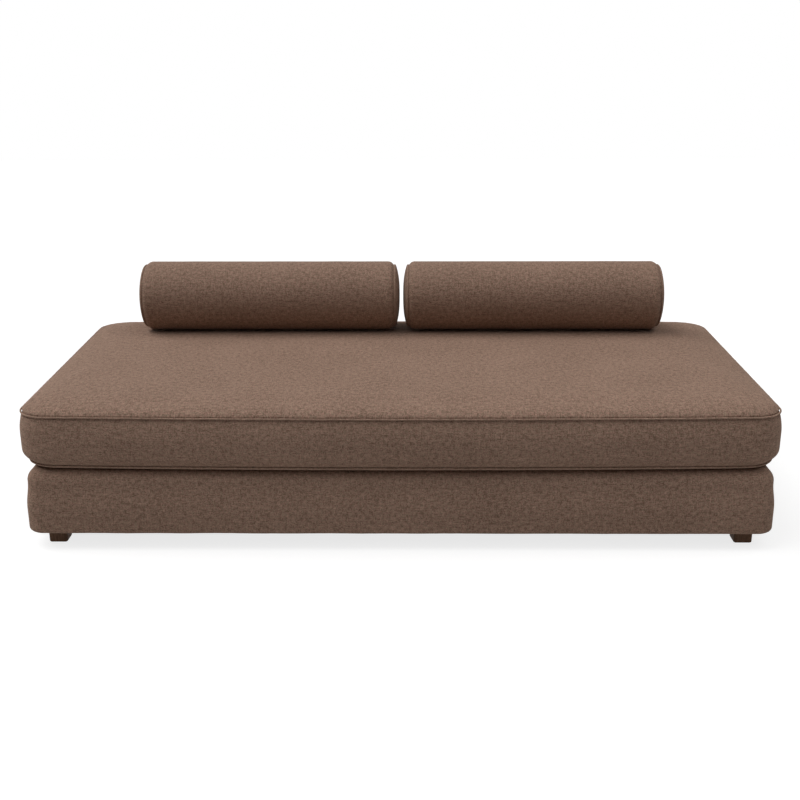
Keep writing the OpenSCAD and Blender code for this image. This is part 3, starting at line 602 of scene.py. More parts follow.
def over_plan(plan, base, height, least):
    """Heights over a plan of points, with each point's run from the nearest edge of the cushion."""
    run = np.minimum(SEAT_HALF_W - np.abs(plan[..., 0]), SEAT_HALF_D - np.abs(plan[..., 1])) - SEAM_DRAW
    return np.dstack([plan, base + height(np.maximum(run, least), plan[..., 0], plan[..., 1])])


top_inner, inner_table = fill_loop(rows[-1][:, :2])
top_inner = over_plan(top_inner, PIPING_TOP, crown, TOP_RUNS[-1])
low_inner, _ = fill_loop(rows[0][:, :2])
low_inner = np.dstack([low_inner, np.full(low_inner.shape[:2], SEAT_Z0)])
ROWS_N, TOP_START = len(rows), len(rows) * LOOP_N
LOW_START = TOP_START + top_inner[..., 0].size


def inner_faces(start, ring, flip=False):
    """Faces that fill a ring's inside with the grid that starts at a given point."""
    table = inner_table + ring * LOOP_N
    table[1:-1, 1:-1] = start + np.arange((table.shape[0] - 2) * (table.shape[1] - 2)).reshape(
        table.shape[0] - 2, -1)
    a, b, c, d = table[:-1, :-1], table[:-1, 1:], table[1:, 1:], table[1:, :-1]
    faces = np.stack([a, b, c, d], -1).reshape(-1, 4)
    return faces[:, ::-1] if flip else faces


def closed_form(ring_rows, top, low):
    """Points and faces of a closed form from its rings and the grids over its top and its bottom."""
    points = np.concatenate([ring_rows.reshape(-1, 3), top.reshape(-1, 3), low.reshape(-1, 3)])
    start = len(ring_rows) * LOOP_N
    faces = np.concatenate([grid_faces(len(ring_rows), LOOP_N, True)[0],
                            inner_faces(start, len(ring_rows) - 1),
                            inner_faces(start + top[..., 0].size, 0, flip=True)])
    return points, faces


seat_points, seat_faces = closed_form(rows, top_inner, low_inner)
print("seat form:", len(seat_points), "points,", len(seat_faces), "faces")

# %% [markdown]
# ## Filling the covers
# Real covers take their shape from the pressure of the filling behind the cloth. Here the form is drawn
# first, and Blender's cloth solver then eases it: it holds the seams still and lets an even pressure act on
# the panels for 20 frames, with gravity off. Only the movement along each point's normal is kept, and only
# within narrow limits, which most free points reach. So the drawn form leads. On the bolsters the solver
# pulls the tube in by about a millimetre. The result is read back as plain points.

# %% The cloth solver
PRESSURE, FRAMES, INWARD_LIMIT = 4.0, 20, 1.2


def fill_out(name, points, faces, held, cap, slack):
    """Points of a closed form after the solver has eased it. held is 1 on seams and 0 on free cloth."""
    mesh = bpy.data.meshes.new(name)
    mesh.from_pydata((points * MM).tolist(), [], [list(map(int, f)) for f in faces])
    mesh.update()
    normals = np.zeros(len(points) * 3)
    mesh.vertices.foreach_get("normal", normals)
    normals = normals.reshape(-1, 3)
    start = points - normals * slack * (1 - held)[:, None]
    mesh.vertices.foreach_set("co", (start * MM).ravel())
    form = bpy.data.objects.new(name, mesh)
    scene.collection.objects.link(form)
    pins = form.vertex_groups.new(name="held")
    pins.add(np.flatnonzero(held > 0).tolist(), 1.0, "REPLACE")
    cloth = form.modifiers.new("cloth", "CLOTH")
    s = cloth.settings
    s.quality, s.mass, s.air_damping = 4, 0.15, 3.0
    s.tension_stiffness = s.compression_stiffness = 15
    s.shear_stiffness, s.bending_stiffness = 8, 1.0
    s.use_pressure, s.uniform_pressure_force = True, PRESSURE
    s.vertex_group_mass = "held"
    s.effector_weights.gravity = 0
    cloth.point_cache.frame_start, cloth.point_cache.frame_end = 1, FRAMES
    for f in range(1, FRAMES + 1):
        scene.frame_set(f)
    settled = form.evaluated_get(bpy.context.evaluated_depsgraph_get()).to_mesh()
    moved = np.zeros(len(points) * 3)
    settled.vertices.foreach_get("co", moved)
    bpy.data.objects.remove(form)
    bpy.data.meshes.remove(mesh)
    scene.frame_set(1)
    out = np.sum((moved.reshape(-1, 3) / MM - points) * normals, axis=1) * (1 - held)
    print(name, "moved", round(float(out.mean()), 2), "mm on average, from", round(float(out.min()), 2),
          "to", round(float(out.max()), 2))
    return points + normals * np.clip(out, -INWARD_LIMIT, cap)[:, None]


held = np.zeros(len(seat_points))
held[:(SEAM_LOW + 2) * LOOP_N] = 1
held[(SEAM_TOP - 1) * LOOP_N:(SEAM_TOP + 3) * LOOP_N] = 1
held[LOW_START:] = 1
for k in range(SEAM_LOW, SEAM_TOP):
    held[k * LOOP_N:(k + 1) * LOOP_N][zip_side] = 1
held[(seat_points[:, 2] > 430) & (np.abs(seat_points[:, 1] - BOLSTER_Y) < 50)] = 1
seat_points = fill_out("seat_filling", seat_points, seat_faces, held, cap=3, slack=3.0)
rows = seat_points[:TOP_START].reshape(ROWS_N, LOOP_N, 3)
top_inner = seat_points[TOP_START:LOW_START]

# %% Cut the form into its panels
def near_seam(height, level, reach):
    return np.exp(-np.abs(height - level) / reach)


def top_puckers(p):
    """The top panel: a soft unevenness of the wrap, and small gathers where the panel meets its piping."""
    run = np.minimum(SEAT_HALF_W - np.abs(p[:, 0]), SEAT_HALF_D - np.abs(p[:, 1])) - TOP_DRAW
    soft = np.clip(run / 150, 0, 1) * np.clip(np.abs(p[:, 1] - BOLSTER_Y) / 60 - 0.6, 0, 1)
    return (0.5 * soft * wobble(p[:, 0], p[:, 1], 330, 31) + 0.3 * soft * wobble(p[:, 0], p[:, 1], 120, 32)
            + 0.45 * np.exp(-np.abs(run - 8) / 9) * wobble(p[:, 0], p[:, 1], 42, 33))


def boxing_puckers(p):
    """The boxing: broad slow waves of the filling, and gathers that fade out from both seams."""
    along = np.where(np.abs(p[:, 1]) > SEAT_HALF_D - 60, p[:, 0], p[:, 1] + 2000)
    hold = np.clip(np.minimum(p[:, 2] - BOXING_Z0, BOXING_Z1 - p[:, 2]) / 30, 0, 1)
    gathers = near_seam(p[:, 2], BOXING_Z1 - 8, 12) + near_seam(p[:, 2], BOXING_Z0 + 8, 10)
    quiet = np.where((p[:, 1] > SEAT_HALF_D - 30) & (np.abs(p[:, 0]) < ZIP_HALF + 30), 0, 1)
    return quiet * (0.7 * hold * wobble(along, p[:, 2] * 1.6, 300, 34)
                    + 0.4 * gathers * wobble(along, p[:, 2] * 0.4, 46, 35))


top_rows = rows[SEAM_TOP:]
corners, _ = grid_faces(len(top_rows), LOOP_N, True)
points = np.concatenate([top_rows.reshape(-1, 3), top_inner])
faces = np.concatenate([corners, inner_faces(len(top_rows) * LOOP_N, len(top_rows) - 1)])
seat_top = refine(make_piece("seat_top_linen", points, faces, points[faces.ravel(), :2], LINEN,
                             "seat_cushion"), top_puckers)
sewn(seat_top, 1.6)
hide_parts("seat_top_panel")
print("top panel:", len(seat_top.data.polygons), "faces")

low_rows = rows[:SEAM_LOW + 1]
corners, _ = grid_faces(len(low_rows), LOOP_N, True)
points = np.concatenate([low_rows.reshape(-1, 3), seat_points[LOW_START:]])
faces = np.concatenate([corners, inner_faces(len(low_rows) * LOOP_N, 0, flip=True)])
seat_low = make_piece("seat_bottom_linen", points, faces, points[faces.ravel(), :2], LINEN,
                      "seat_cushion")
sewn(seat_low, 1.6)
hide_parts("seat_bottom_panel")

band = np.roll(rows[SEAM_LOW:SEAM_TOP + 1], -(TURN // 2 + BACK_EDGE), axis=1)
zip_band = band[:, :BACK_ZIP + 1]
boxing = np.concatenate([band[:, BACK_ZIP:], band[:, :1]], 1)
seat_boxing = refine(grid_piece("seat_boxing_linen", boxing, False, LINEN, "seat_cushion"),
                     boxing_puckers)
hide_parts("seat_boxing")


def zip_strip(rows_of_cloth, level):
    """A zip panel: rows of the back band up to a level beside the zip, where the cloth is folded in."""
    fold = rows_of_cloth[-1].copy() if level < ZIP_Z else rows_of_cloth[0].copy()
    fold[:, 2] = level
    tuck = fold.copy()
    tuck[:, 1] -= 1.4
    tuck[:, 2] += 1.0 if level > ZIP_Z else -1.0
    edge = [fold, tuck]
    return np.concatenate([rows_of_cloth, edge] if level < ZIP_Z else [edge[::-1], rows_of_cloth])


lower = zip_strip(zip_band[zip_band[:, 60, 2] < ZIP_Z - 8], ZIP_Z - 6)
upper = zip_strip(zip_band[zip_band[:, 60, 2] > ZIP_Z + 8], ZIP_Z + 6)
c0, m0 = grid_faces(*lower.shape[:2], False)
c1, m1 = grid_faces(*upper.shape[:2], False, start=lower.shape[0] * lower.shape[1])
maps = np.concatenate([girth_map(lower, False).reshape(-1, 2)[m0.ravel()],
                       girth_map(upper, False, (0, 90)).reshape(-1, 2)[m1.ravel()]])
zip_panels = make_piece("seat_zip_linen", np.concatenate([lower.reshape(-1, 3), upper.reshape(-1, 3)]),
                        np.concatenate([c0, c1]), maps, LINEN, "seat_cushion")
sewn(zip_panels, 1.4)
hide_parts("seat_zip_panels")
print("boxing", boxing.shape, "zip panels", lower.shape, upper.shape)

# %% [markdown]
# ## Piping
# A piping is a thin cord wrapped in a strip of the same linen, cut on the bias so that it turns corners
# without creasing, and sewn into the seam. It is a tube that follows the seam's ring and stands a little
# proud of the crease behind it. Sewn by a hand-fed machine it is never quite even, so its path wanders by a
# fraction of a millimetre.

# %% Pipings of the seat
def tube_grid(path, radius, sides, wander=0.0, seed=0, up=(0, 0, 1)):
    """A closed tube round a closed path of points."""
    ahead = np.roll(path, -1, 0) - np.roll(path, 1, 0)
    ahead /= np.linalg.norm(ahead, axis=1, keepdims=True)
    out = np.cross(ahead, np.broadcast_to(up, path.shape))
    out /= np.linalg.norm(out, axis=1, keepdims=True)
    lift = np.cross(out, ahead)
    length = lengths(path)
    lap = length[-1] + np.linalg.norm(path[0] - path[-1])
    turn = length / lap * math.tau
    spin = np.random.default_rng(seed)
    stray = sum(np.sin(turn * k + spin.uniform(0, math.tau)) / 6 for k in (31, 53, 88, 140, 211, 317))
    uneven = sum(np.sin(turn * k + spin.uniform(0, 6.28)) / 3 for k in (97, 173, 290))
    swell = radius * (1 + 0.12 * wander * uneven)
    path = path + lift * (stray * wander)[:, None]
    angles = np.linspace(0, math.tau, sides + 1)[:-1]
    ring = [path + swell[:, None] * (np.cos(a) * out + np.sin(a) * lift) for a in angles]
    around = np.linspace(0, math.tau * radius, sides + 1)
    maps = np.stack(np.meshgrid(np.append(length, lap), around), -1)
    return np.array(ring), maps


def finer(loop, step):
    """A closed path with points a set distance apart."""
    ring = np.vstack([loop, loop[:1]])
    at = lengths(ring)
    want = np.linspace(0, at[-1], int(at[-1] / step) + 1)[:-1]
    return np.column_stack([np.interp(want, at, ring[:, i]) for i in range(3)])


PROUD, CORD_RAISED, CORD_R, CORD_SIDES, CORD_STEP = 1.5, 1.5, 2.7, 12, 6.0


def seat_piping(name, node, draw, corner, z, seed):
    path = finer(in_3d(seat_loop(draw + 1 - PROUD, corner - 1 + PROUD), z), CORD_STEP)
    ring, maps = tube_grid(path, CORD_R, CORD_SIDES, wander=0.6, seed=seed)
    rows_n, cols = ring.shape[:2]
    corners, mapped = grid_faces(rows_n + 1, cols, True)
    corners = corners % (rows_n * cols)
    piece = make_piece(name, ring.reshape(-1, 3), corners, maps.reshape(-1, 2)[mapped.ravel()], LINEN_BIAS,
                       "seat_cushion")
    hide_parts(node)
    return piece


piping_top = seat_piping("seat_piping_top_cord", "seat_piping_top", SEAM_DRAW, SEAT_CORNER, PIPING_TOP, 3)
piping_low = seat_piping("seat_piping_bottom_cord", "seat_piping_bottom", LOW_DRAW, LOW_CORNER,
                         PIPING_LOW + CORD_RAISED, 4)
sewn(seat_boxing, 1.6)
print("piping faces:", len(piping_top.data.polygons), len(piping_low.data.polygons))

# %% [markdown]
# ## Base cover
# The base is a wooden frame wrapped in foam and covered in one skirt of linen. The cloth is pulled over a
# soft shoulder, down the sides and round the bottom edge, where it is stapled under the frame. Stapling
# pulls harder in some places than others, so its lower edge waves slightly and the sides are not quite flat.

# %% The base's skirt
BASE_ALONG, BASE_ACROSS, BASE_TURN = 170, 84, 10


def base_loop(inset, corner):
    """A rectangle with round corners, moved inwards from the base's outline."""
    hx, hy = BASE_W / 2 - inset, BASE_D / 2 - inset
    r = max(corner, 3.0)
    ex, ey = hx - r, hy - r
    parts = []
    for cx, cy, start, end, steps in (
            (ex, ey, 0, (-ex, hy), BASE_ALONG), (-ex, ey, 90, (-hx, -ey), BASE_ACROSS),
            (-ex, -ey, 180, (ex, -hy), BASE_ALONG), (ex, -ey, 270, (hx, ey), BASE_ACROSS)):
        a = np.radians(start + np.linspace(0, 90, BASE_TURN + 1))
        arc = np.stack([cx + r * np.cos(a), cy + r * np.sin(a)], 1)
        parts += [arc, np.linspace(arc[-1], end, steps + 1)[1:-1]]
    return np.concatenate(parts)


def leaned(z):
    """The pull of the cover: its sides lean in above the middle, towards the shoulder."""
    t = min(max((z - 120) / 74, 0), 1)
    return LEAN * t * t * (3 - 2 * t) * (0.6 + 0.4 * t)


def base_rows(depth):
    """Rows of the base's skin at a depth under its face, from the staples under the frame to the deck."""
    made = [(reach, BASE_Z0 + depth) for reach in (45, 38, 31, 24, 17, 13)]
    hem = BASE_HEM - depth
    for a in np.radians(np.linspace(0, 90, 7)):
        made.append((BASE_HEM - hem * math.sin(a), BASE_Z0 + BASE_HEM - hem * math.cos(a)))
    top = SHOULDER_TOP - SOFT_SHOULDER
    made += [(depth + leaned(z), z) for z in np.linspace(BASE_Z0 + BASE_HEM, top, 15)[1:]]
    reach = SOFT_SHOULDER - depth
    for a in np.radians(np.linspace(0, 90, 13))[1:]:
        made.append((LEAN + SOFT_SHOULDER - reach * math.cos(a), top + reach * math.sin(a)))
    made += [(d, float(shoulder_level(d)) - depth) for d in (46, 58, 72, 82, 94, 107, 119.5)]
    return made


def base_pull(p):
    """The skirt's slow waves, and the small gathers where the staples hold its lower edge."""
    along = np.where(np.abs(p[:, 1]) > BASE_D / 2 - 60, p[:, 0], p[:, 1] + 2000)
    height = np.clip((p[:, 2] - BASE_Z0) / (BASE_Z1 - BASE_Z0), 0, 1)
    on_side = np.maximum(np.abs(p[:, 0]) - BASE_W / 2, np.abs(p[:, 1]) - BASE_D / 2) > -40
    waves = 0.9 * np.sin(height * math.pi) * wobble(along, p[:, 2] * 1.4, 380, 11)
    gathers = 0.35 * np.exp(-np.abs(p[:, 2] - BASE_Z0 - 12) / 14) * wobble(along, p[:, 2] * 0.3, 60, 13)
    return np.where(on_side & (height < 0.97), waves + gathers, 0)


skirt = np.array([in_3d(base_loop(d, BASE_CORNER - d), z) for d, z in base_rows(0.0)])
low = np.clip(1 - (skirt[:, :, 2] - BASE_Z0) / 60, 0, 1)
skirt[:, :, 2] += low * np.abs(wobble(skirt[:, :, 0], skirt[:, :, 1], 300, 12)) * 1.4
base_skirt = refine(grid_piece("base_linen", skirt, True, LINEN, "base"), base_pull)
sewn(base_skirt, 1.6)
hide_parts("base_cover")
print("base skirt:", skirt.shape)

# %% [markdown]
# ## Bolsters
# Each bolster is a tube of linen over a fibre core, gathered in at both ends to a piped seam and closed with
# a slightly domed cap. A zip lies in the tube, turned to the back and down where it isn't seen. The tube is
# a grid round its axis, with exact rows and columns where the zip opens it. Under its own weight a bolster
# goes flat where it lies on the cushion.

# %% Form of a bolster
BOLSTER_R, HALF_LEN, SEAM_R = 119.0, 446.5, 106.0
TUBE_X, RING_X, CAP_X, BODY_X = 427.5, 430.5, 433.5, 405.5
BOLSTER_ZIP, ZIP_TURN = 316.5, 40.0
RING_N, CORD_SUNK = 240, 0.9  # points round an end's piping, and how far it lies inside the seam
STITCHES, STITCH_IN, STITCH_OUT = 76, 4.5, 3.3  # round each seam, and their place beside it
STITCH_R, STITCH_SPAN = 0.75, (0.12, 0.78)
BOLSTER_Z = (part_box("bolster_left_cover")[0].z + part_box("bolster_left_cover")[1].z) / 2 / MM
print("bolster axis at", round(BOLSTER_Z, 2), "mm")
slit = math.asin(6 / BOLSTER_R)
phi = np.concatenate([[-slit, 0, slit], np.linspace(slit, math.tau - slit, 118)[1:-1]])
ROUND_N = len(phi)
half_x = np.concatenate([np.linspace(0, BOLSTER_ZIP, 33), np.linspace(BOLSTER_ZIP, BODY_X, 10)[1:]])
NECK_RUN, NECK_IN, CAP_DOME = 22, 13, 13  # the tube narrows before each seam, and the caps are domed
narrow_r = (NECK_RUN ** 2 + NECK_IN ** 2) / (2 * NECK_IN)
turns = np.linspace(0, math.asin(NECK_RUN / narrow_r), 9)[1:]
tube_line = [(x, BOLSTER_R) for x in half_x] + [
    (BODY_X + narrow_r * math.sin(a), BOLSTER_R - narrow_r + narrow_r * math.cos(a)) for a in turns]
tube_line.append((TUBE_X + 1.2, SEAM_R - 2.6))
line = [(-x, r) for x, r in tube_line[::-1]] + tube_line[1:]
cap_line = [(CAP_X - 1.2, SEAM_R - 2.6)] + [
    (HALF_LEN - CAP_DOME * s ** 3, SEAM_R * s)
    for s in (1, .985, .96, .92, .86, .78, .68, .56, .43, .3, .17, .07)]


def turned(line_points):
    """Rows turned about the bolster's axis. The first column lies on one side of the zip."""
    return np.array([[(x, r * math.cos(p), r * math.sin(p)) for p in phi] for x, r in line_points])


def placed(points, side):
    """From the bolster's own frame to the divan's: the zip turned back and down, the axis over the crown."""
    a = math.radians(-ZIP_TURN)
    x, y, z = points[..., 0], points[..., 1], points[..., 2]
    return np.stack([x + side * BOLSTER_X, y * math.cos(a) - z * math.sin(a) + BOLSTER_Y,
                     y * math.sin(a) + z * math.cos(a) + BOLSTER_Z], -1)


REST_EASE = 4  # the height over which the flat under a bolster rounds up


def resting(points):
    """The part that lies on the cushion is pressed flat."""
    above = np.clip(points[..., 2] - BOLSTER_LOW, 0, None)
    flat = np.where(above < REST_EASE, REST_EASE * (above / REST_EASE) ** 2.4, above)
    return np.concatenate([points[..., :2], (BOLSTER_LOW + flat)[..., None]], -1)


left_cap = turned([(-x, r) for x, r in cap_line[::-1]])
right_cap = turned(cap_line)
tube = turned(line)
tips = np.array([[-HALF_LEN, 0, 0], [HALF_LEN, 0, 0]])
form = np.concatenate([left_cap, tube, right_cap])
form_points = np.concatenate([form.reshape(-1, 3), tips])
count = len(form) * ROUND_N


def fan(tip, ring, low_end):
    """Triangles from a tip to the ring that starts at a given point, facing out at either end of the form."""
    return [(tip, ring + (j + 1) % ROUND_N, ring + j) if low_end else
            (tip, ring + j, ring + (j + 1) % ROUND_N) for j in range(ROUND_N)]


def round_faces(grid_rows):
    """Faces of a closed turned form: its rows, and a fan round the tip of each end."""
    tip = grid_rows * ROUND_N
    quads = grid_faces(grid_rows, ROUND_N, True)[0].tolist()
    return quads + fan(tip, 0, True) + fan(tip + 1, tip - ROUND_N, False)


print("bolster form:", form.shape)

# %% Make both bolsters
def bolster_filled(side):
    """The bolster's skin, slightly uneven, after the solver has eased it between the seams."""
    held = np.zeros(len(form_points))
    for k in (len(left_cap), len(left_cap) + len(tube)):
        held[(k - 2) * ROUND_N:(k + 2) * ROUND_N] = 1
    angle = np.arctan2(form[..., 2], form[..., 1])
    held[:count][((np.abs(form[..., 0]) <= BOLSTER_ZIP + 12) & (np.abs(angle) < 0.16)).ravel()] = 1
    where = BOLSTER_R * np.arctan2(form_points[:, 2], form_points[:, 1])
    uneven = (0.35 * wobble(form_points[:, 0], where, 240, 20 + side)
              + 0.25 * wobble(form_points[:, 0], where, 90, 40 + side))
    points = form_points.copy()
    points[:, 1:] *= (1 + 0.006 * uneven * (1 - held))[:, None]
    return fill_out(f"bolster_filling_{side}", points, round_faces(len(form)), held, cap=1.2, slack=2.0)


def gathers(side, seed):
    """Small gathers round a bolster, close to its seams."""
    def push(p):
        reach = TUBE_X - np.abs(p[:, 0] - side * BOLSTER_X)
        turn = np.arctan2(p[:, 2] - BOLSTER_Z, p[:, 1] - BOLSTER_Y) * SEAM_R
        off_seat = np.clip((p[:, 2] - BOLSTER_LOW) / 12, 0, 1)
        near = np.where(reach > 2, np.exp(-np.abs(reach - 9) / 8), 0) * off_seat
        return 0.9 * near * (0.6 * np.sin(turn / 2.9 + 2 * wobble(turn, reach, 70, seed))
                             + 0.4 * wobble(turn, reach * 0.3, 22, seed))
    return push


def stitch_row(circle_at, count_of):
    """A row of thread: short dark stitches that dip into the cloth, one spindle after another."""
    steps, sides = np.linspace(0, 1, 5), 5
    points, faces = [], []
    for i in range(count_of):
        a0, a1 = ((i + part) / count_of * math.tau for part in STITCH_SPAN)
        for s in steps:
            centre, out = circle_at(a0 + (a1 - a0) * s)
            thick = STITCH_R * math.sin(math.pi * (0.12 + 0.76 * s))
            across = np.array([1.0, 0, 0])
            for k in range(sides):
                b = math.tau * k / sides
                points.append(centre + thick * (math.cos(b) * out + math.sin(b) * across))
        start = i * len(steps) * sides
        faces += [(start + (r + 1) * sides + k, start + (r + 1) * sides + (k + 1) % sides,
                   start + r * sides + (k + 1) % sides, start + r * sides + k)
                  for r in range(len(steps) - 1) for k in range(sides)]
        faces += [tuple(start + k for k in range(sides)),
                  tuple(start + len(steps) * sides - 1 - k for k in range(sides))]
    return points, faces


def bolster(side, word, body):
    points = resting(placed(bolster_filled(side), side))
    grid = points[:count].reshape(len(form), ROUND_N, 3)
    middle = tube[:, 0, 0]
    keep = np.ones((len(tube) - 1, ROUND_N), bool)
    keep[np.ix_(np.abs((middle[:-1] + middle[1:]) / 2) < BOLSTER_ZIP, [0, 1])] = False
    u = np.append(phi, math.tau - slit) * BOLSTER_R
    along = np.stack(np.meshgrid(u, middle), -1)[..., ::-1]
    tube_rows = grid[len(left_cap):len(left_cap) + len(tube)]
    cover = refine(grid_piece(f"bolster_{word}_linen", tube_rows, True, LINEN, body, maps=along,
                              keep=keep), gathers(side, 50 + side))
    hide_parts(f"bolster_{word}_cover")
    made = [cover]
    for rows_of_cap, tip, outer in ((grid[:len(left_cap)], points[count], side < 0),
                                    (grid[-len(right_cap):], points[count + 1], side > 0)):
        local = np.vstack([rows_of_cap.reshape(-1, 3), tip])
        corners, _ = grid_faces(len(rows_of_cap), ROUND_N, True)
        first = tip[0] < side * BOLSTER_X
        ring = 0 if first else (len(rows_of_cap) - 1) * ROUND_N
        faces = [tuple(f) for f in corners] + fan(len(local) - 1, ring, first)
        flat = local[:, 1:] - np.array([BOLSTER_Y, BOLSTER_Z])
        maps = np.concatenate([flat[list(f)] for f in faces])
        name = "cap_outer" if outer else "cap_inner"
        cap = make_piece(f"bolster_{word}_{name}_linen", local, faces, maps, LINEN, body)
        sewn(cap, 1.6)
        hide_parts(f"bolster_{word}_{name}")
        made.append(cap)
    rings, maps_all, faces_all = [], [], []
    threads, thread_faces = [], []
    for s in (-1, 1):
        a = np.linspace(0, math.tau, RING_N + 1)[:-1]
        r = SEAM_R - CORD_SUNK
        circle = np.column_stack([np.full(RING_N, side * BOLSTER_X + s * RING_X),
                                  BOLSTER_Y + r * np.cos(a), BOLSTER_Z + r * np.sin(a)])
        ring, maps = tube_grid(circle, CORD_R, CORD_SIDES, wander=0.35, seed=7 + s + side, up=(1, 0, 0))
        corners, mapped = grid_faces(CORD_SIDES + 1, RING_N, True)
        faces_all.append(corners % (CORD_SIDES * RING_N) + len(rings) * CORD_SIDES * RING_N)
        rings.append(ring.reshape(-1, 3))
        maps_all.append(maps.reshape(-1, 2)[mapped.ravel()])
        stitch_x, stitch_r = TUBE_X - STITCH_IN, SEAM_R + STITCH_OUT

        def at(angle):
            out = np.array([0, math.cos(angle), math.sin(angle)])
            return np.array([side * BOLSTER_X + s * stitch_x, BOLSTER_Y, BOLSTER_Z]) + stitch_r * out, out

        new_points, new_faces = stitch_row(at, STITCHES)
        thread_faces += [tuple(v + len(threads) for v in f) for f in new_faces]
        threads += new_points
    cords = make_piece(f"bolster_{word}_piping_cords", np.concatenate(rings), np.concatenate(faces_all),
                       np.concatenate(maps_all), LINEN_BIAS, body)
    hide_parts(f"bolster_{word}_piping")
    stitches = make_piece(f"bolster_{word}_stitches", threads, thread_faces, None, THREAD_DARK, body)
    sewn(cover, 1.6)
    return made + [cords, stitches]


bolster_left = bolster(-1, "left", "bolster_left")
bolster_right = bolster(1, "right", "bolster_right")
print("bolster pieces:", [p.name for p in bolster_left + bolster_right])

# %% [markdown]
# ## Fillings of the seat
# Inside the seat cover lies a block of foam, cut to the cover's plan with a hot wire and eased at its edges,
# and on it a wrap of fibre that gives the crown. Both follow the same rings as the cover, a little inside.

# %% Foam and fibre of the seat
def filling(name, ring_rows, top, low, finish, node, uneven):
    """A closed filling of the seat from its rings, a little uneven all over."""
    points, faces = closed_form(np.array(ring_rows), top, low)
    piece = make_piece(name, points, faces, None, finish, "seat_cushion")
    refine(piece, lambda p: -uneven * (1 + wobble(p[:, 0] + p[:, 2], p[:, 1], 90, 61)))
    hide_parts(node)
    return piece


def level_fill(ring, z):
    """The inside of a ring as a level grid."""
    plan, _ = fill_loop(ring[:, :2])
    return np.dstack([plan, np.full(plan.shape[:2], z)])


CORE_IN, CORE_BACK = 5.6, 8.4
FOAM_Z0, FOAM_Z1, WRAP_Z0 = 252.9, 406.6, 407.2
FOAM_LEVELS = ((FOAM_Z0, 6), (254, 3), (258, 0.5), *((z, 0) for z in np.linspace(270, 392, 9)),
               (402, 0.5), (405.5, 3), (FOAM_Z1, 6))
FOAM_SHARES = (0, .07, .2, .36, .72, .84, .93, 1)  # of the boxing's height, from its top
FOAM_DRAWS = (7, 5, 2.6, 0, 0, 2.1, 6.8, 16)
foam_rows = []
for z, ease in FOAM_LEVELS:
    share = min(max((BOXING_Z1 - z) / (BOXING_Z1 - BOXING_Z0), 0), 1)
    draw = float(np.interp(share, FOAM_SHARES, FOAM_DRAWS))
    corner = float(np.interp(share, [0, .2, .72, 1], [99, 99, 99, 100])) - draw * 0.3
    foam_rows.append(in_3d(seat_loop(draw + CORE_IN + ease, corner - CORE_IN, CORE_BACK), z))
seat_foam = filling("seat_foam", foam_rows, level_fill(foam_rows[-1], FOAM_Z1),
                    level_fill(foam_rows[0], FOAM_Z0), FOAM, "seat_foam_core", 0.15)


def wrap_crown(run, x, y):
    """The wrap's top, just under the top panel's cloth."""
    return crown(run, x, y) - 2.8


wrap_rows = [in_3d(seat_loop(TOP_DRAW + run, SEAT_CORNER + round_more), WRAP_Z0)
             for run, round_more in ((60, 15), (22, 5))]
for run in (8, 9, 12, 17, 25, 36, 50, 66, 84, 104, 128, 154, 180):
    loop = seat_loop(TOP_DRAW + run, SEAT_CORNER + 0.25 * run)
    wrap_rows.append(in_3d(loop, PIPING_TOP + np.maximum(wrap_crown(run, loop[:, 0], loop[:, 1]), 1.0)))
top_plan, _ = fill_loop(wrap_rows[-1][:, :2])
seat_wrap = filling("seat_wrap", wrap_rows, over_plan(top_plan, PIPING_TOP, wrap_crown, 180),
                    level_fill(wrap_rows[0], WRAP_Z0), FIBRE, "seat_fibre_wrap", 0.2)
print("seat fillings:", len(seat_foam.data.polygons), len(seat_wrap.data.polygons))

# %% [markdown]
# ## Fillings of the base and the bolsters
# Foam strips wrap the base's frame: upright on its outside, with a roll over its top edge. The frame's
# middle is bridged by a thin foam deck pad. Each bolster is stuffed with a fibre core that fills its tube
# and leaves a flat behind the zip.

# %% Foam of the base, fibre of the bolsters
# the frame's face and top, the roll's inner end, and where two strips meet
RAIL_IN, RAIL_TOP, ROLL_IN, STRIP_END = 20.4, 226.0, 79.6, 448.0
section = [(d, z) for d, z in base_rows(2.4)[7:-2] if d < 80]
section += [(ROLL_IN, 247.4), (ROLL_IN, RAIL_TOP + 0.2), (50, RAIL_TOP)]
section += [(RAIL_IN, z) for z in (RAIL_TOP, 190, 140, 90, 54.4)] + [(11, 54.4)]
wrap = np.array([in_3d(base_loop(d, BASE_CORNER - d), z) for d, z in section])


def foam_strip(name, node, chosen, cut_axis_y):
    """A foam strip: the wrap's section along part of the way round, with flat cut ends."""
    part = wrap[:, chosen].copy()
    for end in (0, -1):
        part[:, end, 1] = np.sign(part[0, end, 1]) * STRIP_END + cut_axis_y * np.sign(part[0, end, 1]) * 0.3
    n_rows, n_cols = part.shape[:2]
    closed = np.concatenate([part, part[:1]])
    corners = grid_faces(n_rows + 1, n_cols, False)[0] % (n_rows * n_cols)
    faces = corners.tolist() + [[k * n_cols for k in range(n_rows)],
                                [k * n_cols + n_cols - 1 for k in range(n_rows - 1, -1, -1)]]
    piece = make_piece(name, closed[:-1].reshape(-1, 3), faces, None, FOAM, "base")
    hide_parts(node)
    return piece


x0, y0 = wrap[0, :, 0], wrap[0, :, 1]
on_side = np.abs(y0) < STRIP_END
strips = []
for word, inside, cut_axis_y in (("back", y0 > STRIP_END, 1), ("left", on_side & (x0 < 0), -1),
                                 ("front", y0 < -STRIP_END, 1), ("right", on_side & (x0 > 0), -1)):
    chosen = np.flatnonzero(inside)
    jump = np.flatnonzero(np.diff(chosen) > 1)
    if len(jump):
        chosen = np.roll(chosen, -(jump[0] + 1))
    strips.append(foam_strip(f"padding_{word}_foam", f"padding_{word}", chosen, cut_axis_y))


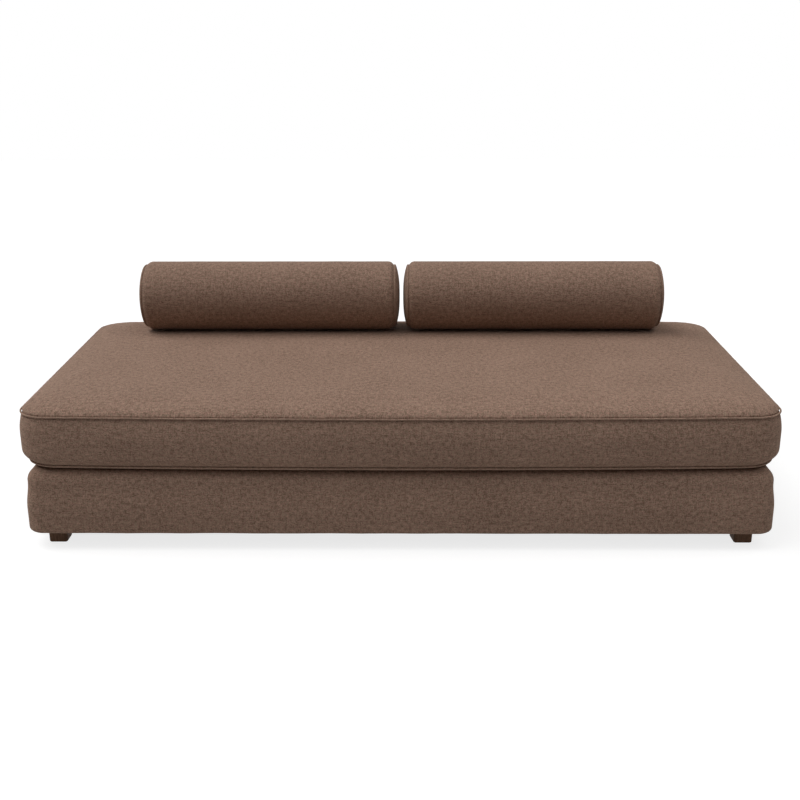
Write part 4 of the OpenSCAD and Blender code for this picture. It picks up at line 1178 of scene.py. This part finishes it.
def block(low, high, ease, step):
    """Points and faces of a block with rounded edges: six grids drawn in onto the round, then joined."""
    low, high = np.array(low, float), np.array(high, float)
    lines = [np.unique(np.concatenate([
        np.linspace(a, a + ease, 4), np.linspace(a + ease, b - ease, max(2, int((b - a) / step))),
        np.linspace(b - ease, b, 4)])) for a, b in zip(low, high)]
    form = bmesh.new()
    for axis in range(3):
        u, v = [i for i in range(3) if i != axis]
        for level, turn_over in ((low[axis], axis != 1), (high[axis], axis == 1)):
            table = np.empty((len(lines[u]), len(lines[v])), object)
            for i, a in enumerate(lines[u]):
                for j, b in enumerate(lines[v]):
                    p = np.empty(3)
                    p[u], p[v], p[axis] = a, b, level
                    core = np.clip(p, low + ease, high - ease)
                    away = p - core
                    table[i, j] = form.verts.new(core + away / max(np.linalg.norm(away), 1e-9) * ease)
            for i in range(len(lines[u]) - 1):
                for j in range(len(lines[v]) - 1):
                    face = [table[i, j], table[i + 1, j], table[i + 1, j + 1], table[i, j + 1]]
                    form.faces.new(face[::-1] if turn_over else face)
    bmesh.ops.remove_doubles(form, verts=form.verts, dist=0.01)
    form.verts.index_update()
    made = [tuple(v.co) for v in form.verts], [[v.index for v in f.verts] for f in form.faces]
    form.free()
    return made


points, faces = block((-1007.6, -447.6, 228.2), (1007.6, 447.6, 247.6), 4, 16)
points = np.array(points)
points[:, 2] -= np.where(points[:, 2] > 240, 0.3 * (1 + wobble(points[:, 0], points[:, 1], 180, 71)), 0)
deck_pad = make_piece("deck_pad_foam", points, faces, None, FOAM, "base")
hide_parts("deck_pad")

UNDER_TUBE, UNDER_CAP = 2.9, 3.1  # how far the core lies inside the drawn covers
core_line = [(-x, r - UNDER_TUBE) for x, r in tube_line[:-1][::-1]]
core_line += [(x, r - UNDER_TUBE) for x, r in tube_line[1:-1]]
cap_core = [(min(x - UNDER_CAP, CAP_X - 0.6), min(r, SEAM_R - 4.6)) for x, r in cap_line[1:]]
core_rows = [(-x, r) for x, r in cap_core[::-1]] + core_line + cap_core
core = turned(core_rows)
# the flat behind the zip: how far the tapes lie from the axis, where they meet the inside of the round tube
TAPE_REACH = math.sqrt((BOLSTER_R - 2.3) ** 2 - 14 ** 2)
reach = TAPE_REACH - 1.8
for side, word in ((-1, "left"), (1, "right")):
    ends = [[UNDER_CAP - HALF_LEN, 0, 0], [HALF_LEN - UNDER_CAP, 0, 0]]
    inner = np.concatenate([core.reshape(-1, 3), ends])
    behind_zip = (np.abs(inner[:, 0]) < BOLSTER_ZIP + 4) & (inner[:, 1] > 0)
    inner[:, 1] = np.where(behind_zip, np.minimum(inner[:, 1], reach), inner[:, 1])
    inner = placed(inner, side)
    inner[:, 2] = np.maximum(inner[:, 2], BOLSTER_LOW + 2.4)
    piece = make_piece(f"bolster_{word}_fibre", inner, round_faces(len(core_rows)), None, FIBRE,
                       f"bolster_{word}")
    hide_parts(f"bolster_{word}_core")
print("foam strips:", [len(s.data.polygons) for s in strips], "deck pad:", len(faces))

# %% [markdown]
# ## Webbing and linings
# Elastic straps cross over and under each other between the rails and carry the deck. Straps are drawn as
# what they are, flat bands on a wavy line. A black lining covers the deck under the cushion, and another
# closes the frame from below, cut out round the feet and sagging a little between its staples.

# %% Interlaced webbing
WEB_W, WEB_T, WEB_LEVEL, WEB_SWING = 50.0, 1.7, 225.85, 1.15
CROSS_AT = [(i - 6.5) * 140 for i in range(14)]
LONG_AT = [(i - 2.5) * 160 for i in range(6)]


def strand_line(crossed, start, reach, room):
    """A strap's levels from end to end: over one strap that it crosses, under the next, low at the rails."""
    at, level = [-reach, -room], [-WEB_SWING, -WEB_SWING]
    for k, place in enumerate(crossed):
        at += [place - WEB_W / 2 - 4, place + WEB_W / 2 + 4]
        level += [WEB_SWING if (k + start) % 2 == 0 else -WEB_SWING] * 2
    line_x = np.arange(-reach, reach + 0.1, 7)
    return line_x, np.interp(line_x, at + [room, reach], level + [-WEB_SWING, -WEB_SWING])


def strap(line_x, level, place, along_x):
    """A strap's flat section, thicker at its woven edges, carried along a line."""
    half, t = WEB_W / 2, WEB_T / 2
    ring = [(-half, 0), (-half + .7, t), (-half + 3, t * .86), (half - 3, t * .86), (half - .7, t), (half, 0),
            (half - .7, -t), (half - 3, -t * .86), (-half + 3, -t * .86), (-half + .7, -t)]
    around = np.concatenate([[0], np.cumsum([math.dist(a, b) for a, b in zip(ring, ring[1:] + ring[:1])])])
    grid = np.array([[(x, place + w, WEB_LEVEL + z + h) if along_x else (place + w, x, WEB_LEVEL + z + h)
                      for w, h in ring] for x, z in zip(line_x, level)])
    maps = np.stack(np.meshgrid(around, line_x), -1)[..., ::-1]
    return grid, maps


def webbing(name, node, places, crossed, odd, reach, room, along_x):
    """All straps that run one way, as one piece with closed ends."""
    points, faces, maps = [], [], []
    for i, place in enumerate(places):
        grid, laid = strap(*strand_line(crossed, i + odd, reach, room), place, along_x)
        corners, mapped = grid_faces(len(grid), 10, True, start=sum(map(len, points)))
        ends = [corners[0][0] + np.arange(9, -1, -1), corners[0][0] + (len(grid) - 1) * 10 + np.arange(10)]
        flat = laid.reshape(-1, 2)
        end_maps = [flat[9::-1], flat[-11:-1]]
        if along_x:
            corners, mapped = corners[:, ::-1], mapped[:, ::-1]
            ends, end_maps = [e[::-1] for e in ends], [e[::-1] for e in end_maps]
        points.append(grid.reshape(-1, 3))
        faces += corners.tolist() + [e.tolist() for e in ends]
        maps += [flat[mapped.ravel()], *end_maps]
    piece = make_piece(name, np.concatenate(points), faces, np.concatenate(maps), WEBBING, "base")
    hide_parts(node)
    return piece


web_cross = webbing("webbing_cross_straps", "webbing_cross", CROSS_AT, LONG_AT, 0, 504, 448, False)
web_long = webbing("webbing_long_straps", "webbing_long", LONG_AT, CROSS_AT, 1, 1064, 1008, True)
print("webbing faces:", len(web_cross.data.polygons), len(web_long.data.polygons))

# %% Linings of the deck and the underside
DECK_X, DECK_Y, DECK_LEVEL = 967.4, 407.4, 249.3
xs, ys = np.linspace(-DECK_X, DECK_X, 100), np.linspace(-DECK_Y, DECK_Y, 44)
x, y = np.meshgrid(xs, ys)
deck = np.dstack([x, y, DECK_LEVEL + 0.3 * wobble(x, y, 260, 81)])
deck_cloth = grid_piece("deck_lining", deck, False, LINING, "base", maps=deck[..., :2])
sewn(deck_cloth, 0.6)
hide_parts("deck_cloth")

UNDER_X, UNDER_Y, UNDER_LEVEL, UNDER_SAG = 1063, 503, 51.8, 1.6
FOOT_X, FOOT_Y, FOOT_HOLE = 1010, 450, 27.3


def lines_with_holes(reach, count, foot):
    """Lines of a grid, with one more at each edge of the holes round the feet."""
    edges = [c + s * FOOT_HOLE for c in (-foot, 0, foot) for s in (-1, 1)]
    return np.unique(np.concatenate([np.linspace(-reach, reach, count), edges]))


x, y = np.meshgrid(lines_with_holes(UNDER_X, 96, FOOT_X), lines_with_holes(UNDER_Y, 46, FOOT_Y))
inward = np.clip((UNDER_X - np.abs(x)) / 160, 0, 1)
sag = UNDER_SAG * inward * np.clip((UNDER_Y - np.abs(y)) / 160, 0, 1) * (1 + 0.4 * wobble(x, y, 300, 82))
under = np.dstack([x, y, UNDER_LEVEL - sag])
mx, my = (x[:-1, :-1] + x[1:, 1:]) / 2, (y[:-1, :-1] + y[1:, 1:]) / 2
keep = np.ones(mx.shape, bool)
for cx, cy in ((0, 0), *((sx * FOOT_X, sy * FOOT_Y) for sx in (-1, 1) for sy in (-1, 1))):
    keep &= ~((np.abs(mx - cx) < FOOT_HOLE) & (np.abs(my - cy) < FOOT_HOLE))
dust = grid_piece("underside_lining", under, False, LINING, "base", maps=under[..., :2],
                  keep=keep)
sewn(dust, 0.5)
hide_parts("dust_cover")
print("linings:", deck.shape, under.shape)

# %% [markdown]
# ## Zips
# A coil zip is two woven tapes with a nylon spiral sewn along their edges. Closed, the two spirals mesh into
# one ribbed half-round. Real teeth are 1.3 mm apart. They are drawn 3 mm apart, so that they show.

# %% Zip tapes and coils
TAPE_HALF, COIL_R, TOOTH, COIL_SIDES = 13.6, 2.45, 3.0, 8


def zip_chain(name, node, length, place, body):
    """A zip along X with its tapes' outer face at y = 0, put in its place by a function."""
    long = np.linspace(-length / 2, length / 2, max(12, int(length / 25)))
    points, faces, maps, total = [], [], [], 0
    for s in (-1, 1):
        wide = s * np.array([0.4, 3, 7, 10.5, TAPE_HALF])
        z, x = np.meshgrid(wide, long)
        grid = np.dstack([x, np.full(x.shape, -0.15), z])
        corners, mapped = grid_faces(*x.shape, False, start=total)
        flat = np.dstack([x, z]).reshape(-1, 2)
        points.append(place(grid.reshape(-1, 3)))
        faces.append(corners[:, ::-1] if s > 0 else corners)
        maps.append(flat[(mapped[:, ::-1] if s > 0 else mapped).ravel()])
        total += x.size
    tapes = make_piece(name + "_tapes", np.concatenate(points), np.concatenate(faces), np.concatenate(maps),
                       TAPE, body)
    long = np.linspace(-length / 2 + 2, length / 2 - 2, int((length - 4) / TOOTH * 4) + 1)
    r = COIL_R * (0.80 + 0.20 * np.abs(np.sin(long * math.pi / TOOTH)) ** 0.6)
    turn = np.radians(np.linspace(-90, 90, COIL_SIDES))
    grid = np.stack([np.repeat(long[:, None], COIL_SIDES, 1), r[:, None] * np.cos(turn),
                     r[:, None] * np.sin(turn)], -1)
    first_end = list(range(COIL_SIDES))
    last_end = [(len(long) - 1) * COIL_SIDES + k for k in first_end]
    sides = grid_faces(len(long), COIL_SIDES, True)[0].tolist()
    coil = make_piece(name + "_coil", place(grid.reshape(-1, 3)), sides + [first_end[::-1], last_end], None,
                      COIL, body)
    sewn(tapes, 0.7)
    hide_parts(node)
    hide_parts(node)
    return tapes, coil


zip_made = list(zip_chain("seat_zip", "seat_zip_chain", 2 * ZIP_HALF,
                          lambda p: p + np.array([0, SEAT_ZIP_Y, ZIP_Z]), "seat_cushion"))
for side, word in ((-1, "left"), (1, "right")):
    zip_made += zip_chain(f"bolster_{word}_zip", f"bolster_{word}_zip_chain", 2 * BOLSTER_ZIP,
                          lambda p, s=side: placed(p + np.array([0, TAPE_REACH, 0]), s), f"bolster_{word}")
print("zip pieces:", [p.name for p in zip_made])

# %% [markdown]
# ## Wood, steel and nylon
# The hard parts keep their CAD shape and only get a finish. The frame is planed pine, pale, with brown growth
# lines along each rail. The feet are beech, sanded and stained nearly black-brown, with short dark flecks.
# Bolts, nuts and sliders are steel or zinc with a thin bright plating, a little
# cloudy. Glides are dark moulded nylon.

# %% Finishes of the hard parts
def wood(name, dark, pale, grain, width, long, gloss, **inputs):
    """Grain that runs along one axis (0, 1 or 2). width and long are the growth lines' spacing and run."""
    material, tree, shader = new_finish(name, **inputs)
    where = add(tree, "TexCoord").outputs["Object"]
    squeeze = [1 / width] * 3
    squeeze[grain] = 1 / long
    laid = add(tree, "Mapping", {"Vector": where, "Scale": squeeze}).outputs[0]
    lines = add(tree, "TexNoise", {"Vector": laid, "Scale": 1.0, "Detail": 3.0, "Roughness": 0.55,
                                   "Distortion": 0.6}).outputs["Fac"]
    fine = [5 / width] * 3
    fine[grain] = 4 / long
    pores = add(tree, "TexNoise", {"Vector": add(tree, "Mapping", {"Vector": where, "Scale": fine}).outputs[0],
                                   "Scale": 1.0, "Detail": 2.0}).outputs["Fac"]
    tone = add(tree, "Math", {0: pores, 1: 0.45, 2: lines}, operation="MULTIPLY_ADD").outputs[0]
    tone = add(tree, "MapRange", {0: tone, 1: 0.52, 2: 0.92}).outputs[0]
    tree.links.new(blend(tree, tone, dark, pale), shader.inputs["Base Color"])
    shine = add(tree, "MapRange", {0: tone, 3: gloss + 0.1, 4: gloss - 0.05})
    tree.links.new(shine.outputs[0], shader.inputs["Roughness"])
    relieve(tree, shader, 0.35, 0.25 * MM, tone)
    return material


PINE = [wood(f"pine_planed_{axis}", "b98d57", "dcbf90", i, 9 * MM, 260 * MM, 0.6, IOR=1.5)
        for i, axis in enumerate("xyz")]
BEECH = wood("beech_sanded_and_stained", "5e4434", "806049", 2, 4 * MM, 30 * MM, 0.6, IOR=1.5,
             Specular_IOR_Level=0.2)
STEEL = mottled("steel_zinc_plated", "a9adae", "c9cccc", 7 * MM, 0.02 * MM, Metallic=1.0, Roughness=0.34)
ZINC = mottled("zinc_cast_and_plated", "8d8a84", "b5b2ab", 3 * MM, 0.02 * MM, Metallic=1.0, Roughness=0.3)
NYLON = mottled("nylon_moulded", "211d1a", "332e29", 2.5 * MM, 0.03 * MM, Roughness=0.45, IOR=1.53)
DRESSED = {"front_rail": PINE[0], "back_rail": PINE[0], "left_rail": PINE[1], "right_rail": PINE[1],
           "cross_rails": PINE[1], "corner_blocks": PINE[0], "centre_block": PINE[0], "foot_bolts": STEEL,
           "tee_nuts": STEEL, "foot_glides": NYLON, "seat_zip_slider": ZINC, "bolster_left_zip_slider": ZINC,
           "bolster_right_zip_slider": ZINC}
for foot in ("front_left", "front_right", "back_left", "back_right", "centre"):
    DRESSED["foot_" + foot] = BEECH
for node, finish in DRESSED.items():
    for held_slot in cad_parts[node].material_slots:
        held_slot.material = finish
print("CAD nodes dressed:", len(DRESSED), "slots each:",
      {len(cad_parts[n].material_slots) for n in DRESSED})
shown_cad = [n for n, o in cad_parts.items() if not o.hide_render and n not in DRESSED]
print("CAD nodes still in their own colour:", shown_cad)

# %% Finish
low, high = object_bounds()
print("visual box, mm:", [round(v / MM, 1) for v in (*low, *high)])
